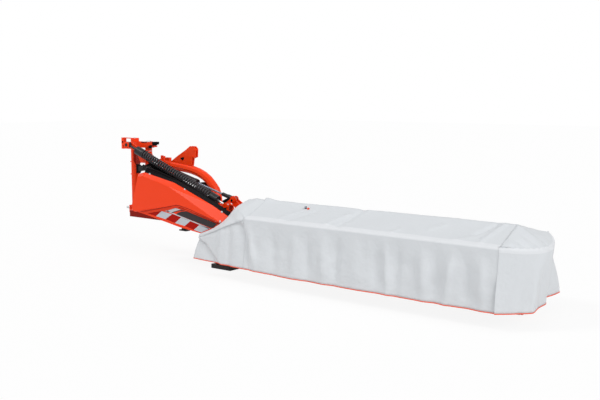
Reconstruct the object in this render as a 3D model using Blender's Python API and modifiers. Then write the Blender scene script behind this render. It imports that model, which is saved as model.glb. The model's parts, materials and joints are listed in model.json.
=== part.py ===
"""Disc mower for a tractor's rear three-point linkage.

A headstock carries a breakaway frame, the breakaway frame carries a lifting arm with the belt
drive, and the arm carries the cutterbar with its seven discs under a tarpaulin guard.
Lengths are metres. Inside this file x runs along the cutterbar from the inner rear corner of the
guard, y runs forward from the guard's rear edge, and z is the height above the ground. The whole
machine hangs under one empty that puts the middle of the lower hitch pins at the world origin.
"""
from math import acos, atan2, cos, degrees, hypot, pi, radians, sin, sqrt

import bmesh
import bpy
from mathutils import Matrix, Vector

for old in list(bpy.data.objects):
    bpy.data.objects.remove(old, do_unlink=True)

# Gaps
FIT = 0.0004          # between pieces that rest on each other
RUNNING = 0.0006      # round a pin or a shaft that turns
SIDE = 0.004          # beside a lug or a fork
ROUND = 16            # sides of an ordinary round piece

# Three-point hitch
HITCH_X = -1.80
HITCH_Y = 0.62
HITCH_Z = 0.44
LOWER_PIN_SPACING = 0.825
LOWER_PIN_RADIUS = 0.014
LOWER_PIN_LENGTH = 0.110
HITCH_CHEEK = 0.014
BEAM_WIDTH = 0.100
BEAM_HEIGHT = 0.066
BEAM_TOP = 0.442
BEAM_LEFT = -2.030
COLUMN_X = -1.978
COLUMN_RADIUS = 0.044
HEAD_TOP = 1.215
TOP_BEAM_HEIGHT = 0.060
TOP_BEAM_TOP = HEAD_TOP - 0.035
TOP_BEAM_END = -1.725
TOP_PLATE_END = -1.665
CLEVIS_GAP = 0.052
CLEVIS_PLATE = 0.014
TOP_PIN_RADIUS = 0.0125
TOP_PIN_Z = TOP_BEAM_TOP - 0.031
TOP_PIN_Y = 0.590
SUPPORT_LUG_X = -2.162

# Breakaway frame and its upright pivot
PIVOT_X = -1.765
PIVOT_Y = 0.500
PIVOT_PIN_RADIUS = 0.020
SWING_TUBE_RADIUS = 0.040
SWING_TUBE_TOP = TOP_BEAM_TOP - TOP_BEAM_HEIGHT - 0.064

# Parking stand
STAND_X = -1.250
STAND_LEG = 0.045
STAND_WALL = 0.007
STAND_TRAVEL = 0.275
STAND_FOOT_WIDTH = 0.100
STAND_FOOT_Z = 0.292
STAND_SLEEVE_LENGTH = 0.200

# Upper pivot: arm hinge and driven shaft on one axis
ARM_X = -1.380
ARM_Z = 0.680
INPUT_SHAFT_RADIUS = 0.022
ARM_TUBE_RADIUS = 0.045
ARM_COLLAR_RADIUS = 0.058
BEARING_RADIUS = 0.035
ARM_LIFT_MAX = 45.0

# Lower pivot: cutterbar hinge and lower pulley on one axis
BAR_PIVOT_X = -0.350
BAR_PIVOT_Z = 0.420
PINION_SHAFT_RADIUS = 0.016
TRUNNION_RADIUS = 0.040
FRONT_TRUNNION_RADIUS = 0.030
BAR_FOLD_MAX = 45.0

# Belt drive
UPPER_PULLEY_RADIUS = 0.150
LOWER_PULLEY_RADIUS = 0.084
BELT_WIDTH = 0.046
BELT_THICKNESS = 0.009
BELT_GAP = 0.0025
BELT_MIDDLE_Y = 0.218
PULLEY_FLANGE = 0.003
IDLER_RADIUS = 0.036

# Belt housing
HOUSING_FACE_Y = 0.120
HOUSING_PANEL_Y = 0.140
HOUSING_EDGE_Y = 0.180
HOUSING_FRONT_Y = 0.262
HOUSING_WALL = 0.006
BACKPLATE = 0.006

# Arm
BEAM_THICKNESS = 0.056
ARCH_RADIUS = 0.044
ARCH_Y = 0.606
ARCH_PLATE = 0.040

# Springs and lift cylinder
SPRING_Y = 0.375
SPRING_RADIUS = 0.038
SPRING_WIRE = 0.0055
SPRING_CURLS = 36
FLOAT_SPRING_Y = 0.495
FLOAT_RADIUS = 0.030
FLOAT_WIRE = 0.0045
FLOAT_CURLS = 12
EYE_WIDTH = 0.040
EYE_RADIUS = 0.026
EYE_PIN_RADIUS = 0.011
LUG_PLATE = 0.010
CYLINDER_RADIUS = 0.033
CYLINDER_ROD_RADIUS = 0.016

# Cutterbar
DISC_COUNT = 7
DISC_SPACING = 0.437
DISC_LINE_Y = 0.475
DISC_RADIUS = 0.200
KNIFE_REACH = 0.258
KNIFE_WIDTH = 0.044
KNIFE_THICKNESS = 0.004
BAR_WIDTH = 0.240
BAR_BOTTOM = 0.044
BAR_DEPTH = 0.062
BAR_WALL = 0.006
LID_THICKNESS = 0.008
BAR_INNER_END = -0.690
BAR_OUTER_OVERHANG = 0.170
BAR_SHAFT_RADIUS = 0.012
BEVEL_PINION_RADIUS = 0.0195
SPINDLE_RADIUS = 0.020

# Guard
GUARD_LENGTH = 2.400
GUARD_REAR_Z = 0.590
RAIL_RADIUS = 0.015
RIDGE_RADIUS = 0.011
RIDGE_Y = 0.310
RIDGE_Z = 0.706
FRONT_EDGE_Y = 0.950
RAIL_Y = 0.022
RAIL_Z = 0.566
CLOTH = 0.004
COVER_EASE = 0.0007
HEM_Z = 0.145
HEM_FLARE = 0.028
GUARD_INNER_END = -0.100


# Places worked out from the sizes above
BEAM_BOTTOM = BEAM_TOP - BEAM_HEIGHT
TOP_BEAM_BOTTOM = TOP_BEAM_TOP - TOP_BEAM_HEIGHT
BACKPLATE_Y0 = HOUSING_FRONT_Y + FIT
BACKPLATE_Y1 = BACKPLATE_Y0 + BACKPLATE
ARM_BEAM_Y0 = BACKPLATE_Y1 + FIT
ARM_BEAM_Y1 = ARM_BEAM_Y0 + BEAM_THICKNESS
ARCH_PLATE_Y0 = ARCH_Y - ARCH_PLATE / 2
ARCH_PLATE_Y1 = ARCH_Y + ARCH_PLATE / 2
ARCH_FOOT_Y0 = ARCH_Y - 0.006
ARCH_FOOT_Y1 = ARCH_Y + 0.028
LAST_DISC_X = BAR_PIVOT_X + (DISC_COUNT - 1) * DISC_SPACING
BAR_OUTER_END = LAST_DISC_X + BAR_OUTER_OVERHANG
BAR_Y0 = DISC_LINE_Y - BAR_WIDTH / 2
BAR_Y1 = DISC_LINE_Y + BAR_WIDTH / 2
BAR_TOP = BAR_BOTTOM + BAR_DEPTH
LID_TOP = BAR_TOP + FIT + LID_THICKNESS
SHAFT_Z = BAR_BOTTOM + BAR_WALL + BEVEL_PINION_RADIUS + 0.0015
CROWN_Z = SHAFT_Z + BEVEL_PINION_RADIUS + RUNNING
CROWN_TOP = BAR_TOP - 0.002
CROWN_RADIUS = 0.050
DISC_Z = LID_TOP + 0.023
DISC_THICKNESS = 0.012
KNIFE_Z = DISC_Z - KNIFE_THICKNESS - 0.004
EYE_GAP = EYE_WIDTH + 2 * FIT
COVER = RAIL_RADIUS + FIT + CLOTH / 2 + COVER_EASE
FRONT_RAIL_Y = FRONT_EDGE_Y - RAIL_Y
DISC_X = [BAR_PIVOT_X + i * DISC_SPACING for i in range(DISC_COUNT)]

collection = bpy.data.collections.new("disc_mower")
bpy.context.scene.collection.children.link(collection)
scratch = bpy.data.collections.new("cutters")
bpy.context.scene.collection.children.link(scratch)


def material(name, colour, roughness, metallic=0.0):
    """Make one Principled material."""
    made = bpy.data.materials.new(name)
    made.use_nodes = True
    shader = made.node_tree.nodes["Principled BSDF"]
    shader.inputs["Base Color"].default_value = (*colour, 1.0)
    shader.inputs["Roughness"].default_value = roughness
    shader.inputs["Metallic"].default_value = metallic
    return made


PAINT = material("orange_red_paint", (0.80, 0.075, 0.018), 0.35)
DARK_PAINT = material("dark_paint", (0.035, 0.032, 0.032), 0.45)
BLACK = material("black_spring_steel", (0.025, 0.026, 0.030), 0.40, 0.4)
ZINC = material("zinc_plate", (0.62, 0.63, 0.65), 0.30, 1.0)
CHROME = material("chrome_rod", (0.80, 0.82, 0.84), 0.12, 1.0)
STEEL = material("worn_steel", (0.36, 0.35, 0.34), 0.42, 1.0)
CAST = material("cast_iron", (0.20, 0.19, 0.18), 0.60, 0.7)
RUBBER = material("black_rubber", (0.02, 0.02, 0.02), 0.75)
TARP = material("pale_tarpaulin", (0.74, 0.76, 0.79), 0.55)
BOARD = material("striped_board", (0.55, 0.56, 0.57), 0.35)


def evaluated(obj):
    """Bake an object's modifiers into a mesh in machine coordinates and drop the object."""
    bpy.context.view_layer.update()
    graph = bpy.context.evaluated_depsgraph_get()
    mesh = bpy.data.meshes.new_from_object(obj.evaluated_get(graph))
    mesh.transform(obj.matrix_world)
    bpy.data.objects.remove(obj, do_unlink=True)
    return mesh


def outward(mesh, weld=0.00002):
    """Weld loose caps and turn every face outwards."""
    shape = bmesh.new()
    shape.from_mesh(mesh)
    bmesh.ops.remove_doubles(shape, verts=shape.verts, dist=weld)
    bmesh.ops.dissolve_degenerate(shape, edges=shape.edges, dist=0.000005)
    bmesh.ops.recalc_face_normals(shape, faces=shape.faces)
    shape.to_mesh(mesh)
    shape.free()
    return mesh


def temporary(name, data):
    """Put data in the scene on an object of its own."""
    obj = bpy.data.objects.new(name, data)
    scratch.objects.link(obj)
    return obj


def box(low, high):
    """A box between two corners."""
    shape = bmesh.new()
    bmesh.ops.create_cube(shape, size=1.0)
    low, high = Vector(low), Vector(high)
    bmesh.ops.scale(shape, vec=high - low, verts=shape.verts)
    bmesh.ops.translate(shape, vec=(low + high) / 2, verts=shape.verts)
    mesh = bpy.data.meshes.new("box")
    shape.to_mesh(mesh)
    shape.free()
    return mesh


def eased_box(low, high, width, steps=1):
    """A box whose edges are bevelled."""
    obj = temporary("eased", box(low, high))
    bevel = obj.modifiers.new("edges", "BEVEL")
    bevel.width = width
    bevel.segments = steps
    return outward(evaluated(obj))


def along(start, end):
    """The matrix that stands a shape made along +Z on start, pointing to end."""
    start, end = Vector(start), Vector(end)
    turn = (end - start).normalized().to_track_quat("Z", "Y").to_matrix().to_4x4()
    return Matrix.Translation(start) @ turn


def rod(start, end, radius, sides=ROUND, tip=None):
    """A cylinder, or a cone where tip is given, between two points."""
    shape = bmesh.new()
    length = (Vector(end) - Vector(start)).length
    bmesh.ops.create_cone(shape, cap_ends=True, segments=sides, radius1=radius,
                          radius2=radius if tip is None else tip, depth=length)
    bmesh.ops.translate(shape, vec=(0, 0, length / 2), verts=shape.verts)
    bmesh.ops.transform(shape, matrix=along(start, end), verts=shape.verts)
    mesh = bpy.data.meshes.new("rod")
    shape.to_mesh(mesh)
    shape.free()
    return mesh


def turned(profile, start, end, sides=ROUND, ring=False):
    """Turn a profile of (radius, distance from start) about the line from start to end."""
    count = len(profile)
    edges = [(i, i + 1) for i in range(count - 1)] + ([(count - 1, 0)] if ring else [])
    data = bpy.data.meshes.new("profile")
    data.from_pydata([(r, 0.0, h) for r, h in profile], edges, [])
    obj = temporary("turned", data)
    screw = obj.modifiers.new("turn", "SCREW")
    screw.steps = sides
    screw.render_steps = sides
    screw.use_merge_vertices = True
    screw.merge_threshold = 0.00001
    obj.matrix_world = along(start, end)
    return outward(evaluated(obj))


def pipe(start, end, outer, inner, sides=ROUND):
    """A straight tube with a bore right through."""
    length = (Vector(end) - Vector(start)).length
    profile = [(outer, length), (outer, 0.0), (inner, 0.0), (inner, length)]
    return turned(profile, start, end, sides, ring=True)


def plate(outline, y0, y1, holes=()):
    """A flat outline in x and z, cut from plate between y0 and y1; holes are (x, z, radius)."""
    curve = bpy.data.curves.new("plate", "CURVE")
    curve.dimensions = "2D"
    curve.fill_mode = "BOTH"
    curve.extrude = (y1 - y0) / 2
    loops = [list(outline)]
    for x, z, radius in holes:
        loops.append([(x + radius * cos(2 * pi * i / ROUND), z + radius * sin(2 * pi * i / ROUND))
                      for i in range(ROUND)])
    for loop in loops:
        spline = curve.splines.new("POLY")
        spline.points.add(len(loop) - 1)
        spline.use_cyclic_u = True
        for point, (x, z) in zip(spline.points, loop):
            point.co = (x, z, 0.0, 1.0)
    obj = temporary("plate", curve)
    obj.rotation_euler = (pi / 2, 0.0, 0.0)
    obj.location = (0.0, (y0 + y1) / 2, 0.0)
    return outward(evaluated(obj))


def tube_along(points, radius, resolution=3):
    """A round bar that follows points in straight runs."""
    curve = bpy.data.curves.new("tube", "CURVE")
    curve.dimensions = "3D"
    curve.fill_mode = "FULL"
    curve.bevel_depth = radius
    curve.bevel_resolution = resolution
    curve.use_fill_caps = True
    spline = curve.splines.new("POLY")
    spline.points.add(len(points) - 1)
    for point, place in zip(spline.points, points):
        point.co = (*place, 1.0)
    return outward(evaluated(temporary("tube", curve)))


def smooth_route(knots, per_span):
    """Points on a Catmull-Rom curve through the knots."""
    knots = [Vector(k) for k in knots]
    first, last = knots[0] * 2 - knots[1], knots[-1] * 2 - knots[-2]
    padded = [first, *knots, last]
    points = []
    for i in range(1, len(padded) - 2):
        a, b, c, d = padded[i - 1:i + 3]
        for step in range(per_span):
            t = step / per_span
            points.append(0.5 * (2 * b + (c - a) * t + (2 * a - 5 * b + 4 * c - d) * t * t
                                 + (3 * b - a - 3 * c + d) * t ** 3))
    points.append(knots[-1])
    return points


def sheet(surface, across, down, thickness=CLOTH):
    """A cloth: surface(u, v) gives each point, and Solidify gives the thickness."""
    vertices = [surface(i / across, j / down) for j in range(down + 1) for i in range(across + 1)]
    row = across + 1
    faces = [(j * row + i, j * row + i + 1, (j + 1) * row + i + 1, (j + 1) * row + i)
             for j in range(down) for i in range(across)]
    data = bpy.data.meshes.new("sheet")
    data.from_pydata([tuple(v) for v in vertices], [], faces)
    obj = temporary("sheet", data)
    solid = obj.modifiers.new("thickness", "SOLIDIFY")
    solid.thickness = thickness
    solid.offset = 0.0
    return outward(evaluated(obj))


def combined(first, others, operation="UNION"):
    """Join meshes into the first one, or cut them out of it."""
    for other in others:
        base = temporary("base", first)
        tool = temporary("tool", other)
        tool.hide_render = True
        tool.display_type = "WIRE"
        cut = base.modifiers.new("cut", "BOOLEAN")
        cut.object = tool
        cut.operation = operation
        cut.solver = "EXACT"
        first = evaluated(base)
        bpy.data.objects.remove(tool, do_unlink=True)
    return outward(first)


pivots = {}
empties = {}


def body(name, place, parent=None):
    """An empty on a joint's axis, which carries that joint's moving pieces."""
    empty = bpy.data.objects.new(name + "_axis", None)
    empty.empty_display_size = 0.05
    collection.objects.link(empty)
    place = Vector(place)
    if parent is not None:
        empty.parent = empties[parent]
        empty.location = place - pivots[parent]
    else:
        empty.location = place - Vector((HITCH_X, HITCH_Y, HITCH_Z))
    pivots[name] = place
    empties[name] = empty


def node(name, owner, finish, mesh):
    """One named piece, made from one closed mesh, on its body's empty."""
    data = mesh
    data.name = name
    data.transform(Matrix.Translation(-pivots[owner]))
    data.materials.clear()
    data.materials.append(finish)
    data.shade_smooth()
    data.set_sharp_from_angle(angle=radians(35))
    obj = bpy.data.objects.new(name, data)
    collection.objects.link(obj)
    obj.parent = empties[owner]
    return obj


def circle(x, z, radius, first, last, steps):
    """Points on an arc in the x-z plane, from the first to the last angle in degrees."""
    return [(x + radius * cos(radians(first + (last - first) * i / steps)),
             z + radius * sin(radians(first + (last - first) * i / steps)))
            for i in range(steps + 1)]


def link_outline(a, radius_a, b, radius_b, steps=7):
    """The outline round two circles in the x-z plane, such as a belt or a strap."""
    (ax, az), (bx, bz) = a, b
    heading = degrees(atan2(bz - az, bx - ax))
    lean = degrees(acos((radius_a - radius_b) / hypot(bx - ax, bz - az)))
    near = circle(ax, az, radius_a, heading + lean, heading + 360 - lean, steps * 2)
    far = circle(bx, bz, radius_b, heading - lean, heading + lean, steps)
    return near + far


def inset(outline, distance):
    """A closed outline, listed anticlockwise, moved inwards by a distance."""
    result = []
    count = len(outline)
    for i in range(count):
        before, here, after = (Vector(outline[(i + k) % count]) for k in (-1, 0, 1))
        one, two = (here - before).normalized(), (after - here).normalized()
        normal = (Vector((-one.y, one.x)) + Vector((-two.y, two.x))).normalized()
        stretch = max(0.5, normal.dot(Vector((-one.y, one.x))))
        result.append(tuple(here + normal * distance / stretch))
    return result


def swung(point, centre, angle):
    """A point of the x-z plane turned about a centre, lifting the outer end."""
    dx, dz = point[0] - centre[0], point[1] - centre[1]
    c, s = cos(radians(angle)), sin(radians(angle))
    return centre[0] + dx * c - dz * s, centre[1] + dx * s + dz * c


UPPER = (ARM_X, ARM_Z)
LOWER = (BAR_PIVOT_X, BAR_PIVOT_Z)
SPRING_ANCHOR = (-1.935, HEAD_TOP - 0.065)
SPRING_PIN = (-0.545, 0.617)
LIFT_ANCHOR = (-1.690, 0.925)
LIFT_PIN = (-0.640, 0.552)
FLOAT_ANCHOR = (-1.500, 0.914)
FLOAT_PIN = (-0.560, 0.668)


def at(point, y):
    """A point of the x-z plane at a distance forward."""
    return Vector((point[0], y, point[1]))


def turning_bore(radius):
    """The radius of a faceted bore in which a faceted shaft of this radius turns freely."""
    return (radius + 0.0002) / cos(pi / ROUND)


body("headstock", (HITCH_X, HITCH_Y, HITCH_Z))
body("stand", (STAND_X, PIVOT_Y, BEAM_TOP), "headstock")
body("swing_frame", (PIVOT_X, PIVOT_Y, BEAM_TOP), "headstock")
body("input_drive", at(UPPER, BELT_MIDDLE_Y), "swing_frame")
body("arm", at(UPPER, ARM_BEAM_Y0), "swing_frame")
body("spring_head", at(SPRING_ANCHOR, SPRING_Y), "swing_frame")
body("spring_tail", at(SPRING_PIN, SPRING_Y), "spring_head")
body("lift_barrel", at(LIFT_ANCHOR, SPRING_Y), "swing_frame")
body("lift_rod", at(LIFT_PIN, SPRING_Y), "lift_barrel")
body("float_head", at(FLOAT_ANCHOR, FLOAT_SPRING_Y), "arm")
body("float_tail", at(FLOAT_PIN, FLOAT_SPRING_Y), "float_head")
body("lower_drive", at(LOWER, BELT_MIDDLE_Y), "arm")
body("cutterbar", at(LOWER, DISC_LINE_Y), "arm")
body("bar_shaft", (BAR_PIVOT_X, DISC_LINE_Y, SHAFT_Z), "cutterbar")
body("front_guard", (0.0, RIDGE_Y, RIDGE_Z), "cutterbar")
for index, disc_x in enumerate(DISC_X):
    body(f"disc_{index + 1}", (disc_x, DISC_LINE_Y, DISC_Z), "cutterbar")


def make_headstock():
    """The frame on the tractor's linkage: beams, column, hitch cheeks, pins and stand sleeve."""
    half = LOWER_PIN_SPACING / 2
    left, right = HITCH_X - half, HITCH_X + half
    y0, y1 = PIVOT_Y - BEAM_WIDTH / 2, PIVOT_Y + BEAM_WIDTH / 2
    inner = STAND_LEG / 2 + RUNNING
    outer = inner + STAND_WALL
    cheek_left = left + LOWER_PIN_LENGTH / 2
    beam_right = STAND_X - outer - FIT
    cheek_right = right - LOWER_PIN_LENGTH / 2 - HITCH_CHEEK
    pieces = [
        rod((COLUMN_X, PIVOT_Y, BEAM_BOTTOM + 0.01), (COLUMN_X, PIVOT_Y, HEAD_TOP), COLUMN_RADIUS),
        box((cheek_left, HITCH_Y - 0.065, BEAM_TOP - 0.032),
            (BEAM_LEFT + 0.03, HITCH_Y - 0.024, BEAM_TOP - 0.002)),
        box((BEAM_LEFT + 0.002, y1 - 0.02, BEAM_TOP - 0.034),
            (BEAM_LEFT + 0.032, HITCH_Y - 0.026, BEAM_TOP - 0.001)),
        box((COLUMN_X, y0 + 0.006, TOP_BEAM_BOTTOM), (TOP_BEAM_END, y1 - 0.006, TOP_BEAM_TOP)),
        box((TOP_BEAM_END - 0.06, y0 + 0.008, TOP_BEAM_TOP - 0.034),
            (TOP_PLATE_END, y1 - 0.024, TOP_BEAM_TOP + 0.003)),
    ]
    for x, start in ((cheek_left, HITCH_Y - 0.066), (cheek_right, y1 - 0.012)):
        pieces.append(box((x, start, HITCH_Z - 0.040),
                          (x + HITCH_CHEEK, HITCH_Y + 0.040, HITCH_Z + 0.038)))
    gap, thick = CLEVIS_GAP / 2, CLEVIS_PLATE
    for x in (HITCH_X - gap - thick, HITCH_X + gap):
        pieces.append(box((x, y1 - 0.02, TOP_PIN_Z - 0.028),
                          (x + thick, TOP_PIN_Y + 0.028, TOP_PIN_Z + 0.029)))
    pieces.append(box((HITCH_X - gap - thick + 0.001, y1 - 0.022, TOP_PIN_Z - 0.027),
                      (HITCH_X + gap + thick - 0.001, y1 + 0.008, TOP_PIN_Z + 0.028)))
    lug_x = SUPPORT_LUG_X
    pieces.append(box((lug_x - 0.015, PIVOT_Y - 0.015, HEAD_TOP - 0.121),
                      (lug_x + 0.015, PIVOT_Y + 0.030, HEAD_TOP - 0.001)))
    pieces.append(box((lug_x + 0.010, PIVOT_Y - 0.008, HEAD_TOP - 0.119),
                      (COLUMN_X, PIVOT_Y + 0.022, HEAD_TOP - 0.087)))
    for z in (0.955, 0.822):
        pieces.append(box((COLUMN_X - COLUMN_RADIUS - 0.030, PIVOT_Y - 0.006, z),
                          (COLUMN_X - COLUMN_RADIUS + 0.010, PIVOT_Y + 0.006, z + 0.012)))
    frame = combined(box((BEAM_LEFT, y0, BEAM_BOTTOM), (beam_right, y1, BEAM_TOP)), pieces)
    frame = combined(frame, [
        rod((PIVOT_X, PIVOT_Y, BEAM_BOTTOM - 0.01), (PIVOT_X, PIVOT_Y, HEAD_TOP + 0.01),
            PIVOT_PIN_RADIUS + FIT),
        rod((cheek_left - 0.01, HITCH_Y, HITCH_Z), (cheek_left + 0.03, HITCH_Y, HITCH_Z),
            LOWER_PIN_RADIUS + FIT),
        rod((HITCH_X - 0.08, TOP_PIN_Y, TOP_PIN_Z), (HITCH_X + 0.08, TOP_PIN_Y, TOP_PIN_Z),
            TOP_PIN_RADIUS + FIT),
        rod((lug_x - 0.03, PIVOT_Y + 0.007, HEAD_TOP - 0.035),
            (lug_x + 0.03, PIVOT_Y + 0.007, HEAD_TOP - 0.035), 0.009),
        rod((cheek_right - 0.01, HITCH_Y, HITCH_Z), (cheek_right + 0.03, HITCH_Y, HITCH_Z),
            LOWER_PIN_RADIUS + FIT)],
        "DIFFERENCE")
    node("headstock_frame", "headstock", PAINT, frame)

    reach = LOWER_PIN_LENGTH + HITCH_CHEEK + 0.012
    for name, inner_end, way in (("hitch_pin_left", cheek_left + HITCH_CHEEK, -1),
                                 ("hitch_pin_right", cheek_right, 1)):
        start = Vector((inner_end - way * 0.012, HITCH_Y, HITCH_Z))
        profile = [(0.0, reach), (LOWER_PIN_RADIUS * 0.8, reach), (LOWER_PIN_RADIUS, reach - 0.004),
                   (LOWER_PIN_RADIUS, 0.012 - FIT), (0.021, 0.012 - FIT), (0.021, 0.0), (0.0, 0.0)]
        node(name, "headstock", ZINC, turned(profile, start, start + Vector((way, 0.0, 0.0))))

    half = gap + thick
    length = 2 * half + 0.026
    start = Vector((HITCH_X - half - 0.006 - FIT, TOP_PIN_Y, TOP_PIN_Z))
    profile = [(0.0, length), (TOP_PIN_RADIUS, length), (TOP_PIN_RADIUS, 0.006), (0.019, 0.006),
               (0.019, 0.0), (0.0, 0.0)]
    node("top_link_pin", "headstock", ZINC, turned(profile, start, start + Vector((1.0, 0.0, 0.0))))

    pin_top = TOP_BEAM_TOP + 0.003 + FIT
    low = BEAM_BOTTOM - 0.002 - pin_top
    profile = [(0.0, 0.007), (0.026, 0.007), (0.028, 0.005), (0.028, 0.0), (PIVOT_PIN_RADIUS, 0.0),
               (PIVOT_PIN_RADIUS, low), (0.0, low)]
    node("breakaway_pin", "headstock", ZINC, turned(profile, (PIVOT_X, PIVOT_Y, pin_top),
                                                    (PIVOT_X, PIVOT_Y, pin_top + 1)))

    sleeve_z0 = BEAM_TOP - STAND_SLEEVE_LENGTH * 0.45
    sleeve = combined(box((STAND_X - outer, PIVOT_Y - outer, sleeve_z0),
                          (STAND_X + outer, PIVOT_Y + outer, sleeve_z0 + STAND_SLEEVE_LENGTH)),
                      [box((STAND_X - inner, PIVOT_Y - inner, sleeve_z0 - 0.01),
                           (STAND_X + inner, PIVOT_Y + inner, sleeve_z0 + STAND_SLEEVE_LENGTH + 0.01))],
                           "DIFFERENCE")
    node("stand_sleeve", "headstock", PAINT, sleeve)
    leg_half = STAND_LEG / 2
    leg_top = sleeve_z0 + STAND_SLEEVE_LENGTH + STAND_TRAVEL * 0.35
    foot_half = STAND_FOOT_WIDTH / 2
    foot_top = STAND_FOOT_Z + 0.012
    leg = box((STAND_X - leg_half, PIVOT_Y - leg_half, foot_top - 0.004),
              (STAND_X + leg_half, PIVOT_Y + leg_half, leg_top))
    foot = box((STAND_X - foot_half, PIVOT_Y - 0.032, STAND_FOOT_Z),
               (STAND_X + foot_half, PIVOT_Y + 0.032, foot_top))
    node("stand_leg", "stand", DARK_PAINT, combined(leg, [foot]))


def make_swing_frame():
    """The frame that turns on the upright pin and carries the arm, the spring and the cylinder."""
    gap = EYE_GAP / 2
    thick = LUG_PLATE
    front = ARCH_PLATE_Y1 + 0.012
    tube = rod((PIVOT_X, PIVOT_Y, BEAM_TOP + FIT), (PIVOT_X, PIVOT_Y, SWING_TUBE_TOP),
               SWING_TUBE_RADIUS)
    box_y0, box_y1 = PIVOT_Y - 0.042, PIVOT_Y + 0.042
    arm_box = box((PIVOT_X, box_y0, ARM_Z - 0.060), (ARM_X, box_y1, ARM_Z + 0.043))
    collar = rod(at(UPPER, ARM_BEAM_Y1 + SIDE), at(UPPER, ARCH_PLATE_Y0 - SIDE), ARM_COLLAR_RADIUS)
    neck = rod(at(UPPER, ARM_BEAM_Y0), at(UPPER, front), ARM_TUBE_RADIUS)
    lug = [(PIVOT_X + 0.010, LIFT_ANCHOR[1] - 0.042), (LIFT_ANCHOR[0], LIFT_ANCHOR[1] - 0.034),
           *circle(*LIFT_ANCHOR, 0.034, -75, 75, 6), (PIVOT_X + 0.060, LIFT_ANCHOR[1] + 0.014),
           (PIVOT_X + 0.010, LIFT_ANCHOR[1] + 0.014)]
    lift_hole = [(*LIFT_ANCHOR, EYE_PIN_RADIUS + FIT)]
    lugs = [box((PIVOT_X + 0.014, SPRING_Y - gap - 0.002, LIFT_ANCHOR[1] - 0.038),
                (LIFT_ANCHOR[0] - EYE_RADIUS - 0.014, PIVOT_Y - SWING_TUBE_RADIUS + 0.030,
                 LIFT_ANCHOR[1] + 0.011)),
            plate(lug, SPRING_Y - gap - thick, SPRING_Y - gap, lift_hole),
            plate(lug, SPRING_Y + gap, SPRING_Y + gap + thick, lift_hole)]
    bearing_depth = 0.018
    cuts = [rod((PIVOT_X, PIVOT_Y, BEAM_TOP - 0.1), (PIVOT_X, PIVOT_Y, TOP_BEAM_TOP),
                PIVOT_PIN_RADIUS + RUNNING),
            rod(at(UPPER, 0.0), at(UPPER, 1.0), INPUT_SHAFT_RADIUS + RUNNING * 2),
            rod(at(UPPER, front - bearing_depth), at(UPPER, front + 0.1), BEARING_RADIUS + FIT)]
    frame = combined(combined(tube, [arm_box, collar, neck, *lugs]), cuts, "DIFFERENCE")
    node("swing_frame", "swing_frame", PAINT, frame)
    node("input_bearing", "swing_frame", STEEL,
         pipe(at(UPPER, front - bearing_depth + FIT), at(UPPER, front - 0.001),
                                                     BEARING_RADIUS, INPUT_SHAFT_RADIUS + RUNNING))

    hole = [(*SPRING_ANCHOR, EYE_PIN_RADIUS + FIT)]
    ax, az = SPRING_ANCHOR
    crown = EYE_RADIUS + 0.003
    lug_top = az + crown
    back = ax - crown
    lug = [(ax + 0.030, az + 0.018), (ax + 0.014, lug_top), (back - 0.013, lug_top),
           (back - 0.013, az - 0.026),
           *circle(ax, az, 0.034, 230, 340, 6)]
    inner_y, outer_y = SPRING_Y - gap, SPRING_Y + gap
    arm_y = SPRING_Y + SPRING_RADIUS + SPRING_WIRE + 0.005
    arm_y1 = PIVOT_Y - SWING_TUBE_RADIUS - 0.027
    link_x = ax + 0.045
    front_lug = [(link_x + 0.060, az - 0.020), (ax + 0.014, lug_top), (back - 0.013, lug_top),
                 (back - 0.013, az - 0.026),
                 *circle(ax, az, 0.034, 230, 290, 4),
                 (link_x + 0.060, az - 0.090)]
    link = [(link_x + 0.004, az - 0.050), (link_x + 0.054, az - 0.078), (link_x + 0.054, az - 0.030),
            (link_x + 0.004, az - 0.008)]
    reach = [(link_x + 0.001, az - 0.054), (PIVOT_X - 0.045, az - 0.185), (PIVOT_X + 0.045, az - 0.185),
             (PIVOT_X + 0.045, az - 0.110), (link_x + 0.057, az - 0.026), (link_x + 0.001, az - 0.005)]
    lever = combined(plate(front_lug, outer_y, outer_y + thick, hole), [
        plate(link, outer_y + 0.002, arm_y + 0.003),
        plate(reach, arm_y, arm_y1),
        box((PIVOT_X - 0.034, arm_y + 0.003, az - 0.178),
            (PIVOT_X + 0.034, PIVOT_Y - SWING_TUBE_RADIUS - FIT, az - 0.115)),
        box((back - 0.012, inner_y - thick + 0.002, az - 0.025),
            (back, outer_y + 0.005, lug_top - 0.002)),
        plate(lug, inner_y - thick, inner_y, hole)])
    node("spring_lever", "swing_frame", PAINT, lever)
    half = gap + thick
    for name, place in (("spring_anchor_pin", SPRING_ANCHOR), ("lift_anchor_pin", LIFT_ANCHOR)):
        profile = [(0.0, 2 * half + 0.006), (EYE_PIN_RADIUS, 2 * half + 0.006), (EYE_PIN_RADIUS, -FIT),
                   (0.017, -FIT),
                   (0.017, -0.006), (0.0, -0.006)]
        node(name, "swing_frame", ZINC, turned(profile, at(place, SPRING_Y - half),
                                               at(place, SPRING_Y + half), 12))


def coil(start, end, radius, wire, curls):
    """One unbroken spring wire between two points, with straight tails along the coil's edge."""
    per_curl = 8
    start, end = Vector(start), Vector(end)
    length = (end - start).length
    frame = along(start, end)
    tail = 2.2 * wire
    reach = length - 2 * tail
    pitch = reach / curls
    count = curls * per_curl
    points = [Vector((radius, 0.0, 0.0))]
    for i in range(count + 1):
        angle = 2 * pi * i / per_curl
        points.append(Vector((radius * cos(angle), radius * sin(angle), tail + reach * i / count)))
    points.append(Vector((radius * cos(2 * pi * curls), radius * sin(2 * pi * curls), length)))
    gap = pitch - 2 * wire
    least = min((points[i + per_curl] - points[i]).length
                for i in range(1, count - per_curl)) - 2 * wire
    print(f"spring: {curls} curls, pitch {pitch:.4f} m, least gap to itself {min(least, gap):.4f} m")
    return tube_along([frame @ p for p in points], wire, 1)


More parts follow.
